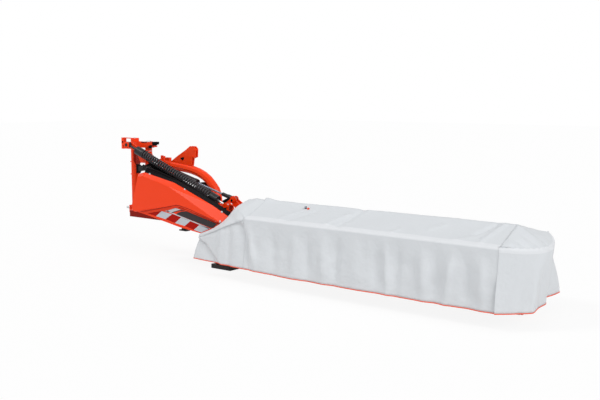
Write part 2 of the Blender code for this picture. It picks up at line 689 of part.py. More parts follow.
def make_spring(prefix, anchor, pin, y, radius, wire, curls, head_length, tail_reach, owner_head,
                owner_tail):
    """A suspension spring: an upper eye with its plug, the coil, and a lower plug with rod and eye."""
    a, b = at(anchor, y), at(pin, y)
    way = (b - a).normalized()
    bore = radius * cos(pi / 8) - wire - FIT
    rod_radius = 0.0095
    width = EYE_WIDTH / 2 - FIT

    head_end = a + way * head_length
    plug = turned([(0.0, 0.055), (bore, 0.055), (bore, 0.0), (radius + wire, 0.0),
                   (radius + wire, -0.010), (0.012, -0.010),
                   (0.012, -head_length + 0.010), (0.0, -head_length + 0.010)], head_end,
                   head_end + way)
    side = Vector((0, 1, 0))
    eye = rod(a - side * width, a + side * width, EYE_RADIUS)
    head = combined(combined(eye, [plug]), [rod(a - side * 0.1, a + side * 0.1,
                                                EYE_PIN_RADIUS + RUNNING)],
                    "DIFFERENCE")
    node(prefix + "_head", owner_head, BLACK, head)

    tail_start = b - way * tail_reach
    node(prefix + "_coil", owner_head, BLACK, coil(head_end + way * FIT, tail_start - way * FIT, radius,
                                                   wire, curls))
    plug = turned([(0.0, 0.022), (radius + wire, 0.022), (radius + wire, 0.0), (bore, 0.0),
                   (bore, -0.055), (0.0, -0.055)],
                  tail_start, tail_start + way)
    shank = rod(tail_start + way * 0.010, b, rod_radius, 12)
    end = rod(b - side * width, b + side * width, EYE_RADIUS * 0.85)
    node(prefix + "_tail", owner_tail, ZINC, combined(plug, [shank, end]))


def make_cylinder():
    """The hydraulic cylinder that lifts the arm."""
    a, b = at(LIFT_ANCHOR, SPRING_Y), at(LIFT_PIN, SPRING_Y)
    way = (b - a).normalized()
    length = (b - a).length
    side = Vector((0, 1, 0))
    width = EYE_WIDTH / 2 - FIT
    barrel_length = length * 0.60
    bore = CYLINDER_RADIUS - 0.006
    rod_bore = CYLINDER_ROD_RADIUS + RUNNING
    start = 0.038
    profile = [(0.0, start), (CYLINDER_RADIUS, start), (CYLINDER_RADIUS, barrel_length),
               (CYLINDER_RADIUS - 0.004, barrel_length + 0.012), (rod_bore, barrel_length + 0.012),
               (rod_bore, barrel_length - 0.030), (bore, barrel_length - 0.030), (bore, start + 0.020),
               (0.0, start + 0.020)]
    barrel = turned(profile, a, b)
    eye = combined(rod(a - side * width, a + side * width, EYE_RADIUS),
                   [rod(a + way * 0.015, a + way * (start + 0.006), 0.018)])
    barrel = combined(combined(barrel, [eye]),
                      [rod(a - side * 0.1, a + side * 0.1, EYE_PIN_RADIUS + RUNNING)], "DIFFERENCE")
    node("lift_barrel", "lift_barrel", DARK_PAINT, barrel)
    piston = turned([(0.0, 0.0), (bore - RUNNING, 0.0), (bore - RUNNING, -0.030), (0.0, -0.030)],
                    a + way * (barrel_length - 0.052), b)
    shank = rod(a + way * (barrel_length - 0.062), b, CYLINDER_ROD_RADIUS, 16)
    end = rod(b - side * width, b + side * width, EYE_RADIUS)
    node("lift_rod", "lift_rod", CHROME, combined(piston, [shank, end]))


FACE_TOP = [(-0.300, 0.463), (-0.376, 0.496), (-0.550, 0.566), (-1.066, 0.789), (-1.434, 0.869),
            (-1.513, 0.861)]
EDGE_TOP = [(-0.275, 0.520), (-0.345, 0.556), (-0.540, 0.640), (-1.050, 0.822), (-1.478, 0.901),
            (-1.572, 0.878)]
FACE_LEFT = [(-1.617, 0.550), (-1.584, 0.503)]
EDGE_LEFT = [(-1.640, 0.545), (-1.600, 0.492)]
KINK = (-0.965, 0.615)
FACE_RIGHT = (-0.511, 0.518)
PANEL_BOTTOM = [(-1.403, 0.479), (-0.949, 0.402), (-0.662, 0.370)]
TOE = [(-0.400, 0.306), (-0.300, 0.306), (-0.236, 0.362), (-0.236, 0.468)]


def make_housing():
    """The belt housing: a pressed shell with a raised face, a recessed striped panel and a backplate."""
    full = [*EDGE_TOP, *EDGE_LEFT, *PANEL_BOTTOM, *TOE]
    outer = plate(full, HOUSING_EDGE_Y, HOUSING_FRONT_Y)
    face = [*FACE_TOP, *FACE_LEFT, KINK, FACE_RIGHT]
    edge = [*EDGE_TOP, *EDGE_LEFT, (KINK[0], KINK[1] - 0.01), (FACE_RIGHT[0], FACE_RIGHT[1] - 0.01)]
    shape = bmesh.new()
    near = [shape.verts.new((x, HOUSING_FACE_Y, z)) for x, z in face]
    far = [shape.verts.new((x, HOUSING_EDGE_Y + 0.004, z)) for x, z in edge]
    shape.faces.new(near)
    shape.faces.new(list(reversed(far)))
    for i in range(len(near)):
        j = (i + 1) % len(near)
        shape.faces.new((near[j], near[i], far[i], far[j]))
    bmesh.ops.triangulate(shape, faces=shape.faces)
    raised = bpy.data.meshes.new("raised")
    shape.to_mesh(raised)
    shape.free()
    lower = [(KINK[0], KINK[1] + 0.02), (-1.50, 0.53), *FACE_LEFT, *PANEL_BOTTOM, *TOE[:3],
             (-0.236, 0.440),
             (FACE_RIGHT[0], FACE_RIGHT[1] + 0.01)]
    panel = plate(lower, HOUSING_PANEL_Y, HOUSING_EDGE_Y + 0.004)
    shell = combined(outer, [outward(raised), panel])
    shallow = inset([*FACE_TOP, *FACE_LEFT, *PANEL_BOTTOM, *TOE], HOUSING_WALL * 1.5)
    deep = inset(full, HOUSING_WALL)
    step_y = HOUSING_EDGE_Y + HOUSING_WALL
    shell = combined(shell, [plate(shallow, HOUSING_PANEL_Y + HOUSING_WALL, HOUSING_FRONT_Y + 0.01),
                             plate(deep, step_y, HOUSING_FRONT_Y + 0.02)], "DIFFERENCE")
    node("belt_housing", "arm", PAINT, shell)

    board = [(-1.385, 0.497), (-1.050, 0.520), (-0.545, 0.430), (-0.655, 0.381), (-0.945, 0.414)]
    node("stripe_board", "arm", BOARD, plate(board, HOUSING_PANEL_Y - 0.0024, HOUSING_PANEL_Y - FIT))
    holes = [(*UPPER, ARM_TUBE_RADIUS + SIDE), (*LOWER, TRUNNION_RADIUS + SIDE)]
    stud_y = BELT_MIDDLE_Y + BELT_WIDTH / 2
    stud = rod(at(TENSION_PIVOT, stud_y + 0.001), at(TENSION_PIVOT, BACKPLATE_Y0 + 0.002), 0.010, 12)
    shoulder = rod(at(TENSION_PIVOT, stud_y + 0.0095), at(TENSION_PIVOT, BACKPLATE_Y0 + 0.002), 0.016,
                   12)
    node("backplate", "arm", PAINT, combined(plate(full, BACKPLATE_Y0, BACKPLATE_Y1, holes),
                                             [shoulder, stud]))


def make_belt_drive():
    """Both pulleys on their shafts and the ribbed belt round them."""
    rise = BELT_GAP + BELT_THICKNESS
    outer = link_outline(UPPER, UPPER_PULLEY_RADIUS + rise, LOWER, LOWER_PULLEY_RADIUS + rise)
    inner = link_outline(UPPER, UPPER_PULLEY_RADIUS + BELT_GAP, LOWER, LOWER_PULLEY_RADIUS + BELT_GAP)
    y0, y1 = BELT_MIDDLE_Y - BELT_WIDTH / 2, BELT_MIDDLE_Y + BELT_WIDTH / 2
    node("drive_belt", "arm", RUBBER, combined(plate(outer, y0, y1),
                                               [plate(inner, y0 - 0.01, y1 + 0.01)], "DIFFERENCE"))

    def pulley(radius, centre, bore):
        half = BELT_WIDTH / 2 + SIDE
        edge = half + PULLEY_FLANGE
        lip = radius + BELT_GAP
        profile = [(bore, edge), (lip, edge), (radius, half), (radius, -half), (lip, -edge),
                   (bore, -edge)]
        return turned(profile, at(centre, BELT_MIDDLE_Y), at(centre, BELT_MIDDLE_Y + 1), ROUND,
                      ring=True)

    node("upper_pulley", "input_drive", CAST, pulley(UPPER_PULLEY_RADIUS, UPPER,
                                                     INPUT_SHAFT_RADIUS + FIT))
    start, end = BELT_MIDDLE_Y - BELT_WIDTH / 2 - 0.012, ARCH_PLATE_Y1 + 0.095
    spline = end - start
    slim = INPUT_SHAFT_RADIUS - 0.005
    shaft = [(0.0, spline), (slim - 0.001, spline), (slim, spline - 0.004), (slim, spline - 0.014),
             (slim - 0.003, spline - 0.016),
             (slim - 0.003, spline - 0.022), (slim, spline - 0.024), (slim, spline - 0.068),
             (INPUT_SHAFT_RADIUS, spline - 0.071),
             (INPUT_SHAFT_RADIUS, 0.0), (0.0, 0.0)]
    node("input_shaft", "input_drive", STEEL, turned(shaft, at(UPPER, start), at(UPPER, end)))
    node("lower_pulley", "lower_drive", CAST, pulley(LOWER_PULLEY_RADIUS, LOWER,
                                                     PINION_SHAFT_RADIUS + FIT))
    gear_y = DISC_LINE_Y - CROWN_RADIUS + 0.004
    spline = gear_y - start
    shaft = [(0.0, spline), (0.030, spline), (0.034, spline - 0.022),
             (PINION_SHAFT_RADIUS, spline - 0.024),
             (PINION_SHAFT_RADIUS, 0.0), (0.0, 0.0)]
    node("pinion_shaft", "lower_drive", STEEL, turned(shaft, at(LOWER, start), at(LOWER, gear_y)))


def idler_place():
    """The idler's centre, with its rim on the inside of the lower run, and the tension arm's pivot."""
    (ax, az), (bx, bz) = UPPER, LOWER
    heading = atan2(bz - az, bx - ax)
    lean = acos((UPPER_PULLEY_RADIUS - LOWER_PULLEY_RADIUS) / hypot(bx - ax, bz - az))
    normal = Vector((cos(heading - lean), sin(heading - lean)))
    share = 0.46
    reach = (UPPER_PULLEY_RADIUS + BELT_GAP) * (1 - share) + (LOWER_PULLEY_RADIUS + BELT_GAP) * share
    on_run = Vector(UPPER).lerp(Vector(LOWER), share) + normal * reach
    centre = on_run - normal * (IDLER_RADIUS + FIT)
    return tuple(centre), tuple(centre + Vector((-0.105, 0.030)))


IDLER, TENSION_PIVOT = idler_place()
body("tensioner", at(TENSION_PIVOT, BELT_MIDDLE_Y), "arm")
body("idler", at(IDLER, BELT_MIDDLE_Y), "tensioner")


def make_tensioner():
    """The tension arm on its stud, and the idler that runs on the inside of the belt."""
    half = BELT_WIDTH / 2
    y0 = BELT_MIDDLE_Y + half + 0.003
    y1 = y0 + 0.006
    arm_plate = plate(link_outline(TENSION_PIVOT, 0.022, IDLER, 0.018), y0, y1,
                      [(*TENSION_PIVOT, 0.010 + RUNNING)])
    stud = rod(at(IDLER, BELT_MIDDLE_Y - half), at(IDLER, y0 + 0.002), 0.008, 12)
    node("tension_arm", "tensioner", DARK_PAINT, combined(arm_plate, [stud]))
    node("idler_pulley", "idler", CAST, pipe(at(IDLER, BELT_MIDDLE_Y - half),
                                             at(IDLER, BELT_MIDDLE_Y + half),
                                             IDLER_RADIUS, 0.008 + RUNNING))


ARCH_KNOTS = [(-1.700, 0.960), (-1.530, 0.941), (-1.420, 0.929), (-1.326, 0.921), (-1.235, 0.909),
              (-1.144, 0.888), (-1.066, 0.858),
              (-1.003, 0.821), (-0.955, 0.778), (-0.908, 0.728), (-0.882, 0.672), (-0.878, 0.600),
              (-0.874, 0.500)]


def make_arm():
    """The arm: a beam behind the housing, the arch tube before it, cross tube, bracket and tower."""
    strap = link_outline(UPPER, 0.078, LOWER, 0.062, 8)
    holes = [(*UPPER, turning_bore(ARM_TUBE_RADIUS)), (*LOWER, turning_bore(TRUNNION_RADIUS))]
    node("arm_beam", "arm", PAINT, plate(strap, ARM_BEAM_Y0, ARM_BEAM_Y1, holes))

    arch = tube_along(smooth_route([at(k, ARCH_Y) for k in ARCH_KNOTS], 1), ARCH_RADIUS, 3)
    root = plate([(ARM_X - 0.030, ARM_Z - 0.070), *circle(*UPPER, 0.072, -60, 30, 4),
                  (ARM_X - 0.020, ARM_Z + 0.120),
                  (ARM_X - 0.130, ARM_Z + 0.260), (ARM_X - 0.290, ARM_Z + 0.315),
                  (ARM_X - 0.300, ARM_Z + 0.250),
                  (ARM_X - 0.190, ARM_Z + 0.180), (ARM_X - 0.078, ARM_Z + 0.020)], ARCH_PLATE_Y0,
                  ARCH_PLATE_Y1)
    foot_x, foot_z = ARCH_KNOTS[-1]
    foot = plate([(foot_x - 0.050, foot_z - 0.070), (BAR_PIVOT_X - 0.06, BAR_PIVOT_Z - 0.045),
                  *circle(*LOWER, 0.052, -80, 80, 6), (foot_x + 0.060, foot_z + 0.030),
                  (foot_x - 0.050, foot_z + 0.030)], ARCH_FOOT_Y0, ARCH_FOOT_Y1)
    cross = rod((foot_x, ARM_BEAM_Y1 + FIT, foot_z - 0.020), (foot_x, ARCH_Y, foot_z - 0.020), 0.034)
    stub = rod(at(FLOAT_ANCHOR, FLOAT_SPRING_Y - EYE_WIDTH / 2 - 0.006), at(FLOAT_ANCHOR, ARCH_Y),
               EYE_PIN_RADIUS, 12)
    lugs = [box((x0, ARCH_Y - 0.0143, top - 0.055), (x1, ARCH_Y + 0.0152, top))
            for x0, x1, top in ((-1.6843, -1.6721, 1.037), (-1.6541, -1.6423, 1.031),
                                (-1.6121, -1.5523, 1.019))]
    arch = combined(arch, [root, foot, cross, stub, *lugs])
    bores = [rod(at(UPPER, ARCH_Y - 0.2), at(UPPER, ARCH_Y + 0.2), turning_bore(ARM_TUBE_RADIUS)),
             rod(at(LOWER, ARCH_Y - 0.1), at(LOWER, ARCH_Y + 0.2), turning_bore(FRONT_TRUNNION_RADIUS))]
    arch = combined(arch, bores, "DIFFERENCE")
    node("arch_arm", "arm", PAINT, arch)

    gap, thick = 0.012, 0.008
    ride = sqrt(ARCH_RADIUS ** 2 - gap ** 2) + FIT
    route = [Vector((k.x, k.z)) for k in smooth_route([at(k, 0.0) for k in ARCH_KNOTS], 1)]
    saddle = []
    for i in range(1, 5):
        along_tube = (route[i + 1] - route[i - 1]).normalized()
        saddle.append(tuple(route[i] + Vector((-along_tube.y, along_tube.x)) * (ride - 0.0005)))
    outline = [*saddle[::-1], (-1.435, 1.039), (-1.307, 1.110), (-1.245, 1.151), (-1.192, 1.150),
               (-1.163, 1.124),
               (-1.168, 1.041), (-1.215, 1.025)]
    pins = [(-1.180, 1.114), (-1.207, 1.046)]
    holes = [(-1.356, 1.015, 0.018)]
    plates = [plate(outline, ARCH_Y - gap - thick, ARCH_Y - gap, holes),
              plate(outline, ARCH_Y + gap, ARCH_Y + gap + thick, holes)]
    reach = gap + thick + 0.006
    stubs = [rod(at(p, ARCH_Y - reach), at(p, ARCH_Y + reach), 0.009, 12) for p in pins]
    bracket = combined(plates[0], [plates[1], *stubs])
    node("arch_bracket", "arm", PAINT, bracket)

    gap, thick = EYE_GAP / 2, LUG_PLATE
    y0 = SPRING_Y - gap - thick
    base_low = 0.444
    side = [(LIFT_PIN[0] - 0.030, base_low), (-0.470, base_low), (-0.470, 0.560),
            *circle(*SPRING_PIN, 0.034, 10, 170, 6),
            (LIFT_PIN[0] - 0.034, LIFT_PIN[1] + 0.010)]
    sides = [plate(side, y0, y0 + thick), plate(side, SPRING_Y + gap, SPRING_Y + gap + thick)]
    base = box((LIFT_PIN[0] - 0.020, ARM_BEAM_Y1 + FIT, base_low + 0.001),
               (-0.475, SPRING_Y + gap + 0.002, base_low + 0.040))
    node("hinge_tower", "arm", PAINT, combined(base, sides))


def make_cutterbar():
    """The long case with its lid, the gearbox on its bracket, shoes and the bar lever."""
    pan = combined(eased_box((BAR_INNER_END, BAR_Y0, BAR_BOTTOM), (BAR_OUTER_END, BAR_Y1, BAR_TOP),
                             0.006),
                   [box((BAR_INNER_END + BAR_WALL, BAR_Y0 + BAR_WALL * 5, BAR_BOTTOM + BAR_WALL),
                        (BAR_OUTER_END - BAR_WALL, BAR_Y1 - BAR_WALL * 5, BAR_TOP + 0.01))],
                        "DIFFERENCE")
    node("bar_pan", "cutterbar", PAINT, pan)
    hole = SPINDLE_RADIUS + RUNNING * 3
    hubs = [rod((x, DISC_LINE_Y, LID_TOP - 0.002), (x, DISC_LINE_Y, LID_TOP + 0.014), 0.056, 12,
                tip=0.040) for x in DISC_X]
    lid = combined(box((BAR_INNER_END, BAR_Y0 + 0.004, BAR_TOP + FIT),
                       (BAR_OUTER_END, BAR_Y1 - 0.004, LID_TOP)), hubs)
    lid = combined(lid,
                   [rod((x, DISC_LINE_Y, BAR_TOP - 0.01), (x, DISC_LINE_Y, LID_TOP + 0.03), hole, 12)
                    for x in DISC_X],
                   "DIFFERENCE")
    node("bar_lid", "cutterbar", PAINT, lid)
    shaft = [rod((DISC_X[0] - 0.07, DISC_LINE_Y, SHAFT_Z), (LAST_DISC_X + 0.07, DISC_LINE_Y, SHAFT_Z),
                 BAR_SHAFT_RADIUS, 10)]
    pinions = []
    for i, x in enumerate(DISC_X):
        side = 1 if i % 2 else -1
        mesh_x = x + side * (CROWN_RADIUS - 0.008)
        pinions.append(rod((mesh_x - side * 0.008, DISC_LINE_Y, SHAFT_Z),
                           (mesh_x + side * 0.008, DISC_LINE_Y, SHAFT_Z),
                           BEVEL_PINION_RADIUS - 0.003, 10, tip=BEVEL_PINION_RADIUS))
    node("bar_shaft", "bar_shaft", STEEL, combined(shaft[0], pinions))

    y0, y1 = ARM_BEAM_Y1 + SIDE, ARCH_FOOT_Y0 - SIDE
    body_r = 0.086
    case = rod(at(LOWER, y0), at(LOWER, y1), body_r)
    floor = BAR_PIVOT_Z - 0.120
    bracket = plate([(BAR_INNER_END + 0.020, LID_TOP + FIT), (BAR_INNER_END + 0.050, LID_TOP + FIT),
                     (BAR_INNER_END + 0.050, floor + 0.002), (BAR_PIVOT_X + 0.050, floor + 0.002),
                     (BAR_PIVOT_X + 0.050, floor + 0.060), (BAR_INNER_END + 0.020, floor + 0.060)],
                    DISC_LINE_Y - 0.080, DISC_LINE_Y + 0.080)
    rear_trunnion = rod(at(LOWER, BACKPLATE_Y0 + 0.003), at(LOWER, y0 + 0.01), TRUNNION_RADIUS)
    front_trunnion = rod(at(LOWER, y1 - 0.01), at(LOWER, ARCH_FOOT_Y1 + 0.012), FRONT_TRUNNION_RADIUS)
    case = combined(case, [bracket, rear_trunnion, front_trunnion])
    chamber = rod(at(LOWER, DISC_LINE_Y - CROWN_RADIUS - 0.026),
                  at(LOWER, DISC_LINE_Y + CROWN_RADIUS + 0.008), CROWN_RADIUS + 0.016)
    case = combined(case, [chamber, rod(at(LOWER, 0.1), at(LOWER, DISC_LINE_Y),
                                        PINION_SHAFT_RADIUS + RUNNING),
                           rod((BAR_PIVOT_X, DISC_LINE_Y, floor - 0.02),
                               (BAR_PIVOT_X, DISC_LINE_Y, BAR_PIVOT_Z), SPINDLE_RADIUS + RUNNING)],
                    "DIFFERENCE")
    node("gearbox", "cutterbar", PAINT, case)

    spine = box((DISC_X[0] - 0.070, BAR_Y0 + 0.150, 0.024),
                (LAST_DISC_X + 0.070, BAR_Y0 + 0.190, BAR_BOTTOM - FIT * 2))
    shoes = []
    for x in DISC_X:
        shoe = plate([(BAR_Y0 + 0.008, BAR_BOTTOM - 0.006), (BAR_Y0 + 0.150, 0.0),
                      (BAR_Y1 - 0.045, 0.0), (BAR_Y1 - 0.006, 0.022),
                      (BAR_Y1 - 0.002, BAR_BOTTOM - FIT), (BAR_Y0 + 0.008, BAR_BOTTOM - FIT)], -0.080,
                      0.080)
        shoe.transform(Matrix.Translation((x, 0.0, 0.0)) @ Matrix.Rotation(pi / 2, 4, "Z"))
        shoes.append(outward(shoe))
    node("skid_rail", "cutterbar", STEEL, combined(spine, shoes))
    inner = plate([(BAR_Y0 - 0.030, 0.004), (BAR_Y0 - 0.020, 0.0), (BAR_Y1 - 0.03, 0.0),
                   (BAR_Y1 + 0.045, 0.046), (BAR_Y1 + 0.040, 0.056),
                   (BAR_Y1 + 0.004, BAR_BOTTOM - FIT), (BAR_Y0 - 0.030, BAR_BOTTOM - FIT)], -0.120,
                   0.120)
    inner.transform(Matrix.Translation((BAR_INNER_END + 0.095, 0.0, 0.0)) @ Matrix.Rotation(pi / 2, 4,
            "Z"))
    node("inner_shoe", "cutterbar", DARK_PAINT, outward(inner))

    gap, thick = EYE_GAP / 2, LUG_PLATE
    heel = (BAR_PIVOT_X - 0.030, BAR_PIVOT_Z + body_r + 0.004)
    outline = [(heel[0] - 0.060, heel[1] + 0.002), (heel[0] + 0.070, heel[1] + 0.002),
               (heel[0] + 0.050, heel[1] + 0.040),
               *circle(*FLOAT_PIN, 0.032, 0, 215, 8)]
    lever = [plate(outline, FLOAT_SPRING_Y - gap - thick, FLOAT_SPRING_Y - gap),
             plate(outline, FLOAT_SPRING_Y + gap, FLOAT_SPRING_Y + gap + thick)]
    base = box((heel[0] - 0.050, FLOAT_SPRING_Y - gap - 0.002, heel[1] - 0.003 + FIT),
               (heel[0] + 0.060, FLOAT_SPRING_Y + gap + 0.002, heel[1] + 0.020))
    node("bar_lever", "cutterbar", PAINT, combined(base, lever))


def make_discs():
    """Seven discs, each on its spindle with a crown gear, and a pair of knives under each rim."""
    for i, x in enumerate(DISC_X):
        owner = f"disc_{i + 1}"
        base = (x, DISC_LINE_Y, 0.0)
        up = (x, DISC_LINE_Y, 1.0)
        top = DISC_Z + DISC_THICKNESS
        profile = [(0.0, CROWN_Z), (CROWN_RADIUS, CROWN_Z), (CROWN_RADIUS - 0.004, CROWN_TOP),
                   (SPINDLE_RADIUS, CROWN_TOP),
                   (SPINDLE_RADIUS, DISC_Z + 0.002)]
        if i == 0:
            gear_z = BAR_PIVOT_Z - 0.034 - RUNNING
            profile += [(SPINDLE_RADIUS, gear_z - 0.012), (CROWN_RADIUS - 0.006, gear_z - 0.010),
                        (CROWN_RADIUS - 0.012, gear_z), (0.0, gear_z)]
            rim = [(0.0, top + 0.022), (0.034, top + 0.020), (0.052, top + 0.006)]
        else:
            profile += [(SPINDLE_RADIUS, top), (0.0, top)]
            rim = [(0.0, top + 0.012), (0.040, top + 0.012), (0.052, top + 0.004)]
        spindle = turned(profile, base, up, 10)
        disc = turned([*rim, (DISC_RADIUS, DISC_Z + 0.005), (DISC_RADIUS, DISC_Z), (0.0, DISC_Z)], base,
                      up, 18)
        turn = radians(90 * (i % 2))
        squeeze = Matrix.Translation(base) @ Matrix.Rotation(turn, 4,
                "Z") @ Matrix.Diagonal((1.0, 0.80, 1.0, 1.0)) \
            @ Matrix.Translation(-Vector(base))
        centre = Matrix.Translation(base)
        core = 0.056
        shape = bmesh.new()
        shape.from_mesh(disc)
        for vertex in shape.verts:
            radius = hypot(vertex.co.x - x, vertex.co.y - DISC_LINE_Y)
            if radius > core:
                vertex.co = squeeze @ vertex.co
        shape.to_mesh(disc)
        shape.free()
        knives = []
        for half_turn in (0, pi):
            blade = box((DISC_RADIUS - 0.045, -KNIFE_WIDTH / 2, KNIFE_Z),
                        (KNIFE_REACH, KNIFE_WIDTH / 2, KNIFE_Z + KNIFE_THICKNESS))
            bolt = rod((DISC_RADIUS - 0.025, 0.0, KNIFE_Z + KNIFE_THICKNESS - 0.001),
                       (DISC_RADIUS - 0.025, 0.0, DISC_Z + 0.002), 0.010, 6)
            knife = combined(blade, [bolt])
            knife.transform(centre @ Matrix.Rotation(turn + half_turn, 4, "Z"))
            knives.append(knife)
        node(f"disc_{i + 1}", owner, DARK_PAINT, combined(outward(disc), [spindle, *knives]))


def edge_plan(u):
    """The guard's outer end in plan: a quarter round at each corner joined by a shallow bulge."""
    knots = [(GUARD_LENGTH + 0.014, CLOTH_Y + 0.004), (GUARD_LENGTH + 0.105, 0.055),
             (GUARD_LENGTH + 0.185, 0.140), (GUARD_LENGTH + 0.236, 0.250),
             (GUARD_LENGTH + 0.238, 0.390), (GUARD_LENGTH + 0.190, 0.560),
             (GUARD_LENGTH + 0.110, 0.760),
             (GUARD_LENGTH - 0.010, FRONT_EDGE_Y - CLOTH_Y)]
    route = smooth_route([(x, y, 0.0) for x, y in knots], 8)
    place = u * (len(route) - 1)
    low = min(int(place), len(route) - 2)
    return route[low].lerp(route[low + 1], place - low)


def roof_height(y):
    """The middle of the guard's cloth over a distance forward."""
    rail_y = RAIL_Y if y <= RIDGE_Y else FRONT_RAIL_Y
    slope = (RIDGE_Z - RAIL_Z) / (RIDGE_Y - rail_y)
    return RIDGE_Z + slope * (y - RIDGE_Y) + COVER / cos(atan2(RIDGE_Z - RAIL_Z, abs(RIDGE_Y - rail_y)))


def wrap(rail_y, side, far_y, steps):
    """The cloth's middle line from its lip round a rail and up the roof, as (y, z) points."""
    rise = degrees(atan2(RIDGE_Z - RAIL_Z, abs(RIDGE_Y - rail_y)))
    line = []
    for k in range(4):
        angle = radians(10 + (80 - rise) * k / 3)
        line.append((rail_y + side * COVER * cos(angle), RAIL_Z + COVER * sin(angle)))
    for k in range(1, steps + 1):
        y = line[3][0] + (far_y - line[3][0]) * k / steps
        line.append((y, roof_height(y)))
    return line


def fold(x, strength):
    """How far a hanging cloth's soft folds stand off, growing towards the hem."""
    return 0.0075 * strength * (sin(2 * pi * x / 0.34 + 0.6) + 0.6 * sin(2 * pi * x / 0.145 + 2.0))


LIP_Z = RAIL_Z + COVER * sin(radians(10))
CLOTH_Y = RAIL_Y - COVER


